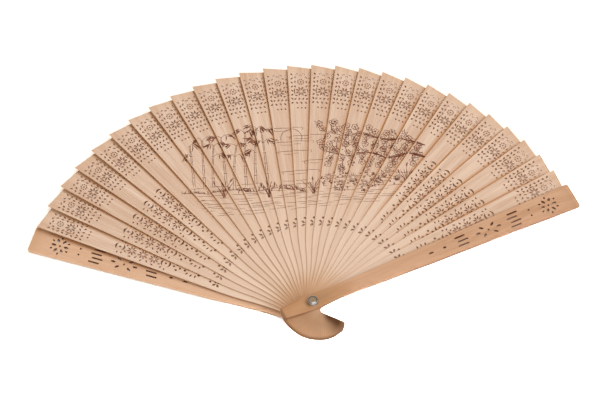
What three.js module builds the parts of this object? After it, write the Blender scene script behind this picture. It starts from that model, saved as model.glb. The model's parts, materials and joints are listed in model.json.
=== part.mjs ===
// Wooden folding fan, standing open. Flat pierced blades lie between two thicker guards,
// each blade over its left neighbour, and all of them turn on one rivet near their heels.
// Millimetres, +Z up. The rivet axis is Z, the rivet's flat rear head stands on Z = 0,
// and the middle of the spread points along +Y.
// In a stick's own frame, X runs from the rivet to the tip and Y points to its left edge.

import * as THREE from 'three';

// Driving dimensions of the spread
const BLADE_COUNT = 27;
const SPREAD = THREE.MathUtils.degToRad(136.2);
const SPREAD_BIAS = 0.0686; // how much wider the blades stand near the rear guard
const BLADE_ROLL = THREE.MathUtils.degToRad(3.5); // each blade's left edge rides up a little

// Driving dimensions of every stick, measured from the rivet axis
const TIP_RADIUS = 180;
const WAIST_RADIUS = 18;
const HEEL_LENGTH = 21;
const WAIST_HALF_WIDTH = 4.3;
const BOSS_HALF_WIDTH = 5.3;
const HEEL_HALF_WIDTH = 3.9;
const HEEL_CORNER = 2.4;

// Blades
const BLADE_THICKNESS = 0.4;
const BLADE_HALF_WIDTH = 8.9;
const BLADE_SHOULDER_RADIUS = 64; // where the taper ends and the blade draws in to its waist
const BLADE_SHOULDER_HALF_WIDTH = 6.7;
const BLADE_TIP_SLANT = Math.tan(THREE.MathUtils.degToRad(7.7));

// Guards
const GUARD_THICKNESS = 2.2;
const GUARD_HALF_WIDTH = 9;
const GUARD_WAIST_HALF_WIDTH = 4.7;
const GUARD_OVERHANG = 1.8; // how far the guards reach past the blades
const GUARD_TIP_CORNER = 1.6;

// Link tape on the backs of the sticks
const TAPE_THICKNESS = 0.08;
const TAPE_WIDTH = 2.2;
const TAPE_EDGE_MARGIN = 0.5;

// Rivet
const PIN_RADIUS = 1.5;
const REAR_HEAD_RADIUS = 3.2;
const REAR_HEAD_THICKNESS = 0.8;
const WASHER_RADIUS = 3.6;
const WASHER_THICKNESS = 0.5;
const DOME_RADIUS = 3.3;
const DOME_RIM = 0.6;
const DOME_HEIGHT = 2.5;
const DOME_SOCKET_DEPTH = 1.3;

// Clearances
const SLIP = 0.05; // between faces that slide or seat
const BORE_CLEARANCE = 0.08; // around the pin

// Facets
const OUTLINE_STEPS = 2;
const BORE_SIDES = 8;
const PIN_SIDES = 16;
const DOME_SIDES = 20;
const DOME_STEPS = 5;
const DOT_SIDES = 6;
const RING_DOT_SIDES = 4;

// Piercing of a blade
const PANEL_OFFSET = 0.8; // the blade's panels lie this far left of its middle
const TIP_ROSETTE = { fromTip: 18.2, petals: 8, inner: 1.1, outer: 4.2, width: 1.3 };
const MID_PANEL = { fromTip: 67, ringSpacing: 15.4 };
const MID_FLOWER = { petals: 6, inner: 1.3, outer: 5, width: 1.5 };
const END_RING = { radius: 3.1, width: 1, halfAngle: Math.PI / 4, dot: 0.6 };
const LOW_CROSS = { radius: 63, offset: 1.9, petals: 4, inner: 0.6, outer: 2.7, width: 0.9 };
const MID_PANELS_BY_REAR = 5; // blades beside each guard that carry the long middle panel
const MID_PANELS_BY_FRONT = 6;

// Piercing of a guard, from its tip to its waist
const GUARD_STAR = { fromTip: 18.2, inner: 2.4, outer: 5.5, width: 1.5 };
const GUARD_STAR_SPARKS = { inner: 5, outer: 6.6, width: 0.9 };
const GUARD_STAR_POINTS = 6;
const GUARD_DOT_RADIUS = 0.6;
const GUARD_PAIR = { fromTip: 31, spacing: 4.4 };
const GUARD_SLOT = { length: 7, width: 1, pitch: 3.1 };
const GUARD_FOUR_SLOTS = { fromTip: 43, count: 4, stagger: 1.4 };
const GUARD_DAISY = { fromTip: 60.1, ends: 7.1, side: 3.8, rise: 2.9, length: 3.2, width: 1.4 };
const GUARD_THREE_SLOTS = { fromTip: 78.8, count: 3, stagger: 1 };
const GUARD_LAST_DOT = { fromTip: 90.7, radius: 0.8 };
const GUARD_DASH = { fromTip: 100, length: 3.6, width: 1.1 };

// Values that follow from the driving dimensions
const stickCount = BLADE_COUNT + 2;
const guardReach = TIP_RADIUS + GUARD_OVERHANG;
const rollLift = BLADE_HALF_WIDTH * Math.sin(BLADE_ROLL);
const widestStep = SPREAD * (1 + SPREAD_BIAS) / (stickCount - 1);
const heelDip = HEEL_LENGTH * Math.sin(widestStep) * Math.sin(BLADE_ROLL);
const tapeRoom = TAPE_THICKNESS + 2 * SLIP;
const bladePitch = BLADE_THICKNESS / Math.cos(BLADE_ROLL) + Math.max(tapeRoom, heelDip + SLIP);

const rearGuardLevel = REAR_HEAD_THICKNESS + SLIP;
const firstBladeLevel = rearGuardLevel + GUARD_THICKNESS + rollLift + tapeRoom;
const lastBladeLevel = firstBladeLevel + (BLADE_COUNT - 1) * bladePitch;
const frontGuardLevel = lastBladeLevel + BLADE_THICKNESS + rollLift + tapeRoom;
const washerLevel = frontGuardLevel + GUARD_THICKNESS + SLIP;
const domeLevel = washerLevel + WASHER_THICKNESS + SLIP;
const socketTop = domeLevel + DOME_SOCKET_DEPTH;

// Finishes
const bladeWood = { color: 0xe2c4a2, roughness: 0.62, metalness: 0 };
const guardWood = { color: 0xc99a6b, roughness: 0.55, metalness: 0 };
const silk = { color: 0xe9dfcd, roughness: 0.85, metalness: 0 };
const chrome = { color: 0xc9ccd0, roughness: 0.14, metalness: 1 };

const fan = new THREE.Group();

function addMesh(parent, name, geometry, finish) {
  const mesh = new THREE.Mesh(geometry, new THREE.MeshStandardMaterial(finish));
  mesh.name = name;
  parent.add(mesh);
  return mesh;
}

// The angle of stick 0 (rear guard) to the last (front guard), about the rivet
function stickAngle(index) {
  const share = index / (stickCount - 1);
  return (Math.PI + SPREAD) / 2 - SPREAD * (share + SPREAD_BIAS * share * (1 - share));
}

// A group that holds one stick: turned about the rivet and lifted to its place in the stack
function stickFrame(index, level, roll = 0) {
  const turn = new THREE.Group();
  turn.rotation.z = stickAngle(index);
  turn.position.z = level;
  const tilt = new THREE.Group();
  tilt.rotation.x = roll;
  turn.add(tilt);
  fan.add(turn);
  return tilt;
}

// Runs an outline round a corner on its way to the next point
function roundCorner(shape, corner, next, radius) {
  const start = shape.currentPoint.clone().sub(corner).setLength(radius).add(corner);
  const end = next.clone().sub(corner).setLength(radius).add(corner);
  shape.lineTo(start.x, start.y);
  shape.quadraticCurveTo(corner.x, corner.y, end.x, end.y);
}

// Outline of a stick: a straight taper from the tip, a drawn-in waist below the shoulder if there
// is one, then the boss round the rivet and the heel with its rounded end
function stickOutline(reach, tipHalf, waistHalf, slant, tipCorner, shoulder = null) {
  const tipRight = new THREE.Vector2(reach - slant * tipHalf, -tipHalf);
  const tipLeft = new THREE.Vector2(reach + slant * tipHalf, tipHalf);
  const waistLeft = new THREE.Vector2(WAIST_RADIUS, waistHalf);
  const taperEnd = shoulder ?? waistLeft;
  const heelLeft = new THREE.Vector2(-HEEL_LENGTH, HEEL_HALF_WIDTH);
  const heelRight = new THREE.Vector2(-HEEL_LENGTH, -HEEL_HALF_WIDTH);
  const heelStart = HEEL_CORNER - HEEL_LENGTH;
  const midWaist = WAIST_RADIUS / 2;
  const shape = new THREE.Shape();
  shape.moveTo(WAIST_RADIUS, -waistHalf);
  if (shoulder) {
    const bend = (WAIST_RADIUS + shoulder.x) / 2;
    shape.bezierCurveTo(bend, -waistHalf, bend, -shoulder.y, shoulder.x, -shoulder.y);
  }
  roundCorner(shape, tipRight, tipLeft, tipCorner);
  roundCorner(shape, tipLeft, taperEnd, tipCorner);
  shape.lineTo(taperEnd.x, taperEnd.y);
  if (shoulder) {
    const bend = (WAIST_RADIUS + shoulder.x) / 2;
    shape.bezierCurveTo(bend, shoulder.y, bend, waistHalf, WAIST_RADIUS, waistHalf);
  }
  shape.bezierCurveTo(midWaist, waistHalf, midWaist, BOSS_HALF_WIDTH, 0, BOSS_HALF_WIDTH);
  shape.quadraticCurveTo(heelStart / 2, BOSS_HALF_WIDTH, heelStart, HEEL_HALF_WIDTH);
  roundCorner(shape, heelLeft, heelRight, HEEL_CORNER);
  roundCorner(shape, heelRight, new THREE.Vector2(heelStart, -HEEL_HALF_WIDTH), HEEL_CORNER);
  shape.quadraticCurveTo(heelStart / 2, -BOSS_HALF_WIDTH, 0, -BOSS_HALF_WIDTH);
  shape.bezierCurveTo(midWaist, -BOSS_HALF_WIDTH, midWaist, -waistHalf, WAIST_RADIUS, -waistHalf);
  return shape;
}

function closedPath(points) {
  return new THREE.Path(points.map(([x, y]) => new THREE.Vector2(x, y)));
}

// A regular hole, with a corner on the stick's own axis
function polygonHole(x, y, radius, sides) {
  const points = [];
  for (let i = 0; i < sides; i += 1) {
    const angle = i * 2 * Math.PI / sides;
    points.push([x + radius * Math.cos(angle), y + radius * Math.sin(angle)]);
  }
  return closedPath(points);
}

// A pointed petal, long along its own angle
function petalHole(x, y, length, width, angle) {
  const along = new THREE.Vector2(Math.cos(angle), Math.sin(angle)).multiplyScalar(length / 2);
  const across = new THREE.Vector2(-Math.sin(angle), Math.cos(angle)).multiplyScalar(width / 2);
  return closedPath([
    [x + along.x, y + along.y],
    [x + across.x, y + across.y],
    [x - along.x, y - along.y],
    [x - across.x, y - across.y],
  ]);
}

function slotHole(x, y, length, width) {
  const along = length / 2;
  const across = width / 2;
  return closedPath([
    [x - along, y - across],
    [x + along, y - across],
    [x + along, y + across],
    [x - along, y + across],
  ]);
}

// A curved slot round (x, y), its middle at the given angle
function crescentHole(x, y, ring, angle) {
  const points = [];
  for (const [radius, turn] of [[ring.radius + ring.width / 2, 1], [ring.radius - ring.width / 2, -1]]) {
    for (const step of [-1, 0, 1]) {
      const at = angle + turn * step * ring.halfAngle;
      points.push([x + radius * Math.cos(at), y + radius * Math.sin(at)]);
    }
  }
  return closedPath(points);
}

// Petals standing round (x, y)
function rosetteHoles(x, y, petals, { inner, outer, width }, start = 0) {
  const middle = (inner + outer) / 2;
  const holes = [];
  for (let i = 0; i < petals; i += 1) {
    const angle = start + i * 2 * Math.PI / petals;
    const px = x + middle * Math.cos(angle);
    const py = y + middle * Math.sin(angle);
    holes.push(petalHole(px, py, outer - inner, width, angle));
  }
  return holes;
}

function pivotHole() {
  const radius = (PIN_RADIUS + BORE_CLEARANCE) / Math.cos(Math.PI / BORE_SIDES);
  return polygonHole(0, 0, radius, BORE_SIDES);
}

function middlePanelHoles() {
  const x = TIP_RADIUS - MID_PANEL.fromTip;
  const holes = rosetteHoles(x, PANEL_OFFSET, MID_FLOWER.petals, MID_FLOWER);
  for (const end of [-1, 1]) {
    const ringX = x + end * MID_PANEL.ringSpacing;
    holes.push(polygonHole(ringX, PANEL_OFFSET, END_RING.dot, RING_DOT_SIDES));
    holes.push(crescentHole(ringX, PANEL_OFFSET, END_RING, 0));
    holes.push(crescentHole(ringX, PANEL_OFFSET, END_RING, Math.PI));
  }
  return holes;
}

function bladeHoles(hasMiddlePanel) {
  const rosetteX = TIP_RADIUS - TIP_ROSETTE.fromTip;
  const holes = [pivotHole()];
  holes.push(...rosetteHoles(rosetteX, PANEL_OFFSET, TIP_ROSETTE.petals, TIP_ROSETTE));
  const quarter = Math.PI / LOW_CROSS.petals;
  holes.push(...rosetteHoles(LOW_CROSS.radius, LOW_CROSS.offset, LOW_CROSS.petals, LOW_CROSS, quarter));
  if (hasMiddlePanel) {
    holes.push(...middlePanelHoles());
  }
  return holes;
}

// A stack of slots side by side, every second one shifted towards the tip
function slotStack({ fromTip, count, stagger }) {
  const holes = [];
  for (let i = 0; i < count; i += 1) {
    const x = guardReach - fromTip + (i % 2) * stagger;
    const y = (i - (count - 1) / 2) * GUARD_SLOT.pitch;
    holes.push(slotHole(x, y, GUARD_SLOT.length, GUARD_SLOT.width));
  }
  return holes;
}

function daisyHoles() {
  const x = guardReach - GUARD_DAISY.fromTip;
  const { ends, side, rise, length, width } = GUARD_DAISY;
  const holes = [polygonHole(x, 0, GUARD_DOT_RADIUS, DOT_SIDES)];
  for (const end of [-1, 1]) {
    holes.push(petalHole(x + end * ends, 0, length, width, 0));
    for (const edge of [-1, 1]) {
      const angle = Math.atan2(edge * rise, end * side);
      holes.push(petalHole(x + end * side, edge * rise, length, width, angle));
    }
  }
  return holes;
}

function guardHoles() {
  const starX = guardReach - GUARD_STAR.fromTip;
  const pairX = guardReach - GUARD_PAIR.fromTip;
  const halfPoint = Math.PI / GUARD_STAR_POINTS;
  return [
    pivotHole(),
    polygonHole(starX, 0, GUARD_DOT_RADIUS, DOT_SIDES),
    ...rosetteHoles(starX, 0, GUARD_STAR_POINTS, GUARD_STAR),
    ...rosetteHoles(starX, 0, GUARD_STAR_POINTS, GUARD_STAR_SPARKS, halfPoint),
    polygonHole(pairX, GUARD_PAIR.spacing / 2, GUARD_DOT_RADIUS, DOT_SIDES),
    polygonHole(pairX, -GUARD_PAIR.spacing / 2, GUARD_DOT_RADIUS, DOT_SIDES),
    ...slotStack(GUARD_FOUR_SLOTS),
    ...daisyHoles(),
    ...slotStack(GUARD_THREE_SLOTS),
    polygonHole(guardReach - GUARD_LAST_DOT.fromTip, 0, GUARD_LAST_DOT.radius, DOT_SIDES),
    slotHole(guardReach - GUARD_DASH.fromTip, 0, GUARD_DASH.length, GUARD_DASH.width),
  ];
}

function plate(outline, holes, thickness) {
  outline.holes.push(...holes);
  return new THREE.ExtrudeGeometry(outline, {
    depth: thickness,
    bevelEnabled: false,
    curveSegments: OUTLINE_STEPS,
  });
}

// The half width of a stick on its straight taper, at a distance from the rivet
function taperHalfWidth(radius, reach, tipHalf, taperEnd) {
  const share = (radius - taperEnd.x) / (reach - taperEnd.x);
  return taperEnd.y + (tipHalf - taperEnd.y) * share;
}

// A strip of tape on the back of a stick, from its right edge to the right edge of the stick
// below, in the plain band between the tip panel and the tip
function addTape(frame, index, halfWidth) {
  const outer = TIP_RADIUS - BLADE_TIP_SLANT * BLADE_HALF_WIDTH - TAPE_EDGE_MARGIN;
  const radius = outer - TAPE_WIDTH / 2;
  const step = stickAngle(index - 1) - stickAngle(index);
  const right = TAPE_EDGE_MARGIN - halfWidth;
  const left = radius * Math.sin(step) - halfWidth;
  const strip = new THREE.BoxGeometry(TAPE_WIDTH, left - right, TAPE_THICKNESS);
  const name = `link_tape_${String(index).padStart(2, '0')}`;
  const mesh = addMesh(frame, name, strip, silk);
  mesh.position.set(radius, (left + right) / 2, -SLIP - TAPE_THICKNESS / 2);
}

function addGuard(name, index, level) {
  const frame = stickFrame(index, level);
  const outline = stickOutline(guardReach, GUARD_HALF_WIDTH, GUARD_WAIST_HALF_WIDTH, 0, GUARD_TIP_CORNER);
  addMesh(frame, name, plate(outline, guardHoles(), GUARD_THICKNESS), guardWood);
  return frame;
}

function addBlade(index) {
  const level = firstBladeLevel + (index - 1) * bladePitch;
  const frame = stickFrame(index, level, BLADE_ROLL);
  const fromFront = BLADE_COUNT - index;
  const hasMiddlePanel = index <= MID_PANELS_BY_REAR || fromFront < MID_PANELS_BY_FRONT;
  const shoulder = new THREE.Vector2(BLADE_SHOULDER_RADIUS, BLADE_SHOULDER_HALF_WIDTH);
  const outline = stickOutline(TIP_RADIUS, BLADE_HALF_WIDTH, WAIST_HALF_WIDTH, BLADE_TIP_SLANT, 0, shoulder);
  const name = `blade_${String(index).padStart(2, '0')}`;
  addMesh(frame, name, plate(outline, bladeHoles(hasMiddlePanel), BLADE_THICKNESS), bladeWood);
  const bandRadius = TIP_RADIUS - TAPE_WIDTH;
  addTape(frame, index, taperHalfWidth(bandRadius, TIP_RADIUS, BLADE_HALF_WIDTH, shoulder));
}

// A turned piece on the rivet axis, from a profile of [radius, height] points
function turned(profile, sides) {
  const points = profile.map(([radius, height]) => new THREE.Vector2(radius, height));
  const geometry = new THREE.LatheGeometry(points, sides);
  geometry.rotateX(Math.PI / 2);
  return geometry;
}

// Shank through every stick, riveted over into a flat head at the rear
function pinProfile() {
  return [
    [0, 0],
    [REAR_HEAD_RADIUS, 0],
    [REAR_HEAD_RADIUS, REAR_HEAD_THICKNESS],
    [PIN_RADIUS, REAR_HEAD_THICKNESS],
    [PIN_RADIUS, socketTop - SLIP],
    [0, socketTop - SLIP],
  ];
}

function washerProfile() {
  const bore = PIN_RADIUS + BORE_CLEARANCE;
  const top = washerLevel + WASHER_THICKNESS;
  return [
    [bore, washerLevel],
    [WASHER_RADIUS, washerLevel],
    [WASHER_RADIUS, top],
    [bore, top],
    [bore, washerLevel],
  ];
}

// Polished dome with a blind socket over the end of the shank
function domeProfile() {
  const socket = PIN_RADIUS + BORE_CLEARANCE;
  const shoulder = domeLevel + DOME_RIM;
  const rise = DOME_HEIGHT - DOME_RIM;
  const profile = [[0, socketTop], [socket, socketTop], [socket, domeLevel], [DOME_RADIUS, domeLevel]];
  for (let i = 0; i <= DOME_STEPS; i += 1) {
    const angle = i / DOME_STEPS * Math.PI / 2;
    const radius = i < DOME_STEPS ? DOME_RADIUS * Math.cos(angle) : 0;
    profile.push([radius, shoulder + rise * Math.sin(angle)]);
  }
  return profile;
}

addGuard('rear_guard', 0, rearGuardLevel);
for (let index = 1; index <= BLADE_COUNT; index += 1) {
  addBlade(index);
}
const frontFrame = addGuard('front_guard', stickCount - 1, frontGuardLevel);
const frontBand = TIP_RADIUS - TAPE_WIDTH;
const guardWaist = new THREE.Vector2(WAIST_RADIUS, GUARD_WAIST_HALF_WIDTH);
const frontTapeHalf = taperHalfWidth(frontBand, guardReach, GUARD_HALF_WIDTH, guardWaist);
addTape(frontFrame, stickCount - 1, frontTapeHalf);

addMesh(fan, 'rivet_pin', turned(pinProfile(), PIN_SIDES), chrome);
addMesh(fan, 'rivet_washer', turned(washerProfile(), DOME_SIDES), chrome);
addMesh(fan, 'rivet_dome', turned(domeProfile(), DOME_SIDES), chrome);

export default fan;
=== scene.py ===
"""Wooden folding fan, standing open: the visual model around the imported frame.

Pierced wooden blades lie between two thicker guards, each blade over its left neighbour, and all of
them turn on one domed rivet. Lengths are millimetres until a finished mesh is laid out in metres.
In a stick's own frame X runs from the rivet to the tip, Y to its left edge and Z from its back to its
face. The print is drawn in the plane of the open fan, with the rivet at the origin.
"""

import json
import logging
import math
import random
from collections.abc import Iterable, Iterator, Sequence
from contextlib import contextmanager
from dataclasses import dataclass, field, replace
from enum import Enum

import bmesh
import bpy
from mathutils import Matrix, Vector
from mathutils.geometry import interpolate_bezier

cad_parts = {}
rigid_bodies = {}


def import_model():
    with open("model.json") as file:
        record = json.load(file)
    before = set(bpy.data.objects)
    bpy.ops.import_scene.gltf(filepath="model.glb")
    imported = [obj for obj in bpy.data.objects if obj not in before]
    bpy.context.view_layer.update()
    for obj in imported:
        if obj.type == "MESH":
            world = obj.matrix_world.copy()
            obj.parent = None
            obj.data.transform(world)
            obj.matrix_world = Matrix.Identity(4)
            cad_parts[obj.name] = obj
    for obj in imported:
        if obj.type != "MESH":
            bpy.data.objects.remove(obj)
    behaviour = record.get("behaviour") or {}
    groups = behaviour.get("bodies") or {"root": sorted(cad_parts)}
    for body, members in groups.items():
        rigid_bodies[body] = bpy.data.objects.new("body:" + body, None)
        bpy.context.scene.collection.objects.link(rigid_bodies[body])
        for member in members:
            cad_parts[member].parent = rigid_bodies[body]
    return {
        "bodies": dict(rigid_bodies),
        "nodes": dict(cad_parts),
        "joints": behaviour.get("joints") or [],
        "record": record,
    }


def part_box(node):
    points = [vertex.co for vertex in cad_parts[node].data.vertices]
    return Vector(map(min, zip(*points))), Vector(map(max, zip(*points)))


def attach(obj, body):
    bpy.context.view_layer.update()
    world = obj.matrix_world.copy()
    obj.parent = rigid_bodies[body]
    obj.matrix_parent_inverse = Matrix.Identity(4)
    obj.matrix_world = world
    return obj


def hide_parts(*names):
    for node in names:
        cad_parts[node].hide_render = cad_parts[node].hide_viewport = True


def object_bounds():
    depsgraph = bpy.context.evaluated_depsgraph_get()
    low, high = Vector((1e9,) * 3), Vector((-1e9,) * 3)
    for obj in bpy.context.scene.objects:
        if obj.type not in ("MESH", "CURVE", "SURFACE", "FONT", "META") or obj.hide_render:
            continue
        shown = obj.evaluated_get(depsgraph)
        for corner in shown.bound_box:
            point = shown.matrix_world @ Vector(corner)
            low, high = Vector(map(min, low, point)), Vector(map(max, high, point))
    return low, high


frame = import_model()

CAD_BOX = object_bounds()
LOG = logging.getLogger("folding_fan")

MM = 0.001
PLACE_UNIT = 10.0  # the materials read a stick's own place in centimetres
MERGE_DISTANCE = 1e-4
QUARTER = math.pi / 2
GRAIN_GROUP = "wood_grain"
TONE_AND_SHADE_GROUP = "tone_and_painted_shade"

Point = tuple[float, float]
Spot = tuple[float, float, float]
Colour = tuple[float, float, float, float]
Rosette = tuple[int, float, float, float, float]  # count, inner and outer radius, width, angle of the first


class Slot(Enum):
    """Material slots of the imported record."""

    BLADE = "blade_wood"
    GUARD = "guard_wood"
    TAPE = "link_tape"
    RIVET = "rivet_metal"


class MiddlePanel(Enum):
    """What the middle of a blade carries."""

    PIERCED = "pierced"
    PRINTED = "printed"


class Mark(Enum):
    """Mesh attributes that the materials read."""

    PLACE = "place"
    STICK = "stick_number"
    WALL = "cut_wall"
    SEAM = "seam_distance"


# Points


def polar(x: float, y: float, reach: float, angle: float) -> Point:
    """Point at a distance and an angle from another one."""
    return x + reach * math.cos(angle), y + reach * math.sin(angle)


def between(start: Point, end: Point, share: float) -> Point:
    """Point at a share of the way between two others."""
    return start[0] + (end[0] - start[0]) * share, start[1] + (end[1] - start[1]) * share


def arc_points(x: float, y: float, radius: float, start: float, end: float, steps: int) -> list[Point]:
    """Points along an arc between two angles, both ends included."""
    return [polar(x, y, radius, start + (end - start) * step / steps) for step in range(steps + 1)]


def bent(start: Vector, control: Vector, end: Vector, count: int) -> list[Vector]:
    """Points along a curve with one control point."""
    return interpolate_bezier(start, start.lerp(control, 2 / 3), end.lerp(control, 2 / 3), end, count)


# Meshes


@contextmanager
def edited(mesh: bpy.types.Mesh) -> Iterator[bmesh.types.BMesh]:
    """Opens a mesh for operators and writes the result back."""
    work = bmesh.new()
    work.from_mesh(mesh)
    yield work
    work.to_mesh(mesh)
    work.free()


def new_piece(name: str, mesh: bpy.types.Mesh, material: bpy.types.Material) -> bpy.types.Object:
    """Puts a mesh that has its place in its vertices in the scene as one piece, at the origin."""
    mesh.name = name
    mesh.materials.clear()
    mesh.materials.append(material)
    piece = bpy.data.objects.new(name, mesh)
    bpy.context.scene.collection.objects.link(piece)
    return piece


def hand_over(piece: bpy.types.Object, body: str, slot: Slot, *nodes: str) -> None:
    """Attaches a piece to the body that carries it and hides the CAD nodes that it stands for.

    Args:
        piece: The finished piece.
        body: Body that carries it.
        slot: Material slot of the record; not used.
        nodes: CAD nodes that it replaces.
    """
    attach(piece, body)
    if nodes:
        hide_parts(*nodes)
    LOG.info("%s: %d faces on %s", piece.name, len(piece.data.polygons), body)


def smooth(mesh: bpy.types.Mesh, sharp_angle: float) -> None:
    """Shades a mesh smoothly except over edges sharper than an angle in degrees."""
    mesh.shade_smooth()
    mesh.set_sharp_from_angle(angle=math.radians(sharp_angle))


def mesh_from_curve(curve: bpy.types.Curve) -> bpy.types.Mesh:
    """Turns a curve into a closed mesh and removes the curve.

    Args:
        curve: Curve in millimetres.

    Returns:
        The mesh, merged and with its faces outwards.
    """
    holder = bpy.data.objects.new(curve.name, curve)
    bpy.context.scene.collection.objects.link(holder)
    graph = bpy.context.evaluated_depsgraph_get()
    mesh = bpy.data.meshes.new_from_object(holder.evaluated_get(graph), depsgraph=graph)
    bpy.data.objects.remove(holder)
    bpy.data.curves.remove(curve)
    with edited(mesh) as work:
        bmesh.ops.remove_doubles(work, verts=work.verts, dist=MERGE_DISTANCE)
        bmesh.ops.dissolve_degenerate(work, edges=work.edges, dist=MERGE_DISTANCE)
        bmesh.ops.recalc_face_normals(work, faces=work.faces)
    mesh.shade_flat()
    return mesh


def add_spline(curve: bpy.types.Curve, points: Sequence[Point], radii: Sequence[float] = ()) -> bpy.types.Spline:
    """Adds a flat line to a curve, with the radius at each point where radii are given."""
    spline = curve.splines.new("POLY")
    spline.points.add(len(points) - 1)
    for point, (x, y) in zip(spline.points, points):
        point.co = (x, y, 0.0, 1.0)
    for point, radius in zip(spline.points, radii):
        point.radius = radius
    return spline


def pierced_plate(
    name: str,
    outline: Sequence[Point],
    cuts: Iterable[Sequence[Point]],
    thickness: float,
    rounding: float,
    steps: int,
) -> bpy.types.Mesh:
    """Cuts a plate from its outline and the loops that pierce it.

    Args:
        name: Name of the plate.
        outline: Outer loop.
        cuts: Loops of the piercing.
        thickness: From back to face.
        rounding: Size of the eased edge.
        steps: Extra steps round that edge.

    Returns:
        The plate's mesh, with its back on Z = 0.
    """
    curve = bpy.data.curves.new(name, "CURVE")
    curve.dimensions = "2D"
    curve.fill_mode = "BOTH"
    curve.extrude = thickness / 2 - rounding
    curve.bevel_depth = rounding
    curve.bevel_resolution = steps
    curve.offset = -rounding
    for loop in (outline, *cuts):
        add_spline(curve, loop).use_cyclic_u = True
    mesh = mesh_from_curve(curve)
    mesh.transform(Matrix.Translation((0.0, 0.0, thickness / 2)))
    return mesh


def cross_cuts(mesh: bpy.types.Mesh, start: float, end: float, pitch: float) -> None:
    """Adds edges across a plate at an even pitch along its stick, so that it can twist."""
    with edited(mesh) as work:
        for step in range(int((end - start) / pitch)):
            parts = work.verts[:] + work.edges[:] + work.faces[:]
            spot = (start + step * pitch, 0.0, 0.0)
            bmesh.ops.bisect_plane(work, geom=parts, dist=MERGE_DISTANCE, plane_co=spot, plane_no=(1.0, 0.0, 0.0))


def turned(name: str, profile: Sequence[Point], steps: int = 56) -> bpy.types.Mesh:
    """Turns a profile about the rivet axis.

    Args:
        name: Name of the piece.
        profile: Points of radius and height, a closed loop or one that ends on the axis.
        steps: Faces round the axis.

    Returns:
        The turned mesh in millimetres.
    """
    mesh = bpy.data.meshes.new(name)
    with edited(mesh) as work:
        rim = [work.verts.new((radius, 0.0, height)) for radius, height in profile]
        edges = [work.edges.new(pair) for pair in zip(rim, rim[1:])]
        if profile[0][0] > 0.0:
            edges.append(work.edges.new((rim[-1], rim[0])))
        axis = {"cent": (0.0, 0.0, 0.0), "axis": (0.0, 0.0, 1.0)}
        bmesh.ops.spin(work, geom=rim + edges, **axis, angle=math.tau, steps=steps, use_merge=True)
        bmesh.ops.remove_doubles(work, verts=work.verts, dist=MERGE_DISTANCE)
        bmesh.ops.recalc_face_normals(work, faces=work.faces)
    smooth(mesh, sharp_angle=38.0)
    return mesh


def set_mark(mesh: bpy.types.Mesh, mark: Mark, values: Sequence[float], domain: str = "POINT") -> None:
    """Stores one value for each point or face."""
    mesh.attributes.new(mark.value, "FLOAT", domain).data.foreach_set("value", values)


def mark_stick(mesh: bpy.types.Mesh, number: int) -> None:
    """Stores the number of a stick, and each point's place on it while the mesh is in the stick's own frame."""
    spots = [part for vertex in mesh.vertices for part in vertex.co / PLACE_UNIT]
    mesh.attributes.new(Mark.PLACE.value, "FLOAT_VECTOR", "POINT").data.foreach_set("vector", spots)
    set_mark(mesh, Mark.STICK, [float(number)] * len(mesh.vertices))


# Where the sticks lie


def node_levels(node: str) -> Point:
    """Lowest and highest level of a CAD node, in millimetres."""
    low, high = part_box(node)
    return low.z / MM, high.z / MM


@dataclass(frozen=True)
class StickPlace:
    """Place of one stick in the open fan."""

    number: int
    body: str
    angle: float
    level: float
    roll: float = 0.0
    stand: float = 1.0
    tip_lift: float = 0.0
    twist_power: float = 1.6
    twist_reach: float = 180.0

    def matrix(self) -> Matrix:
        """The level stick's own frame in the fan's, in millimetres."""
        return Matrix.Rotation(self.angle, 4, "Z") @ Matrix.Translation((0.0, 0.0, self.level))

    def lay(self, mesh: bpy.types.Mesh) -> None:
        """Twists a flat mesh as thin wood is pressed flat at the rivet, and lays it in the fan, in metres."""
        if self.roll:
            for vertex in mesh.vertices:
                share = (max(0.0, vertex.co.x) / self.twist_reach) ** self.twist_power
                vertex.co = Matrix.Rotation(self.roll * self.stand * share, 3, "X") @ vertex.co
                vertex.co.z += self.tip_lift * share
        mesh.transform(Matrix.Scale(MM, 4) @ self.matrix())

    def local(self, x: float, y: float) -> Point:
        """Place of a point of the fan's plane in the stick's own frame."""
        cosine, sine = math.cos(self.angle), math.sin(self.angle)
        return x * cosine + y * sine, y * cosine - x * sine


@dataclass(frozen=True)
class StickSize:
    """Sizes in which the blades and the guards differ."""

    reach: float
    tip_half: float
    waist_half: float
    shoulder: Point | None = None
    slant: float = 0.0
    tip_corner: float = 0.0


BLADE_SIZE = StickSize(180.0, 8.9, 4.3, shoulder=(64.0, 6.7), slant=math.tan(math.radians(7.7)))
BLADE_THICKNESS = 0.4


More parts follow.
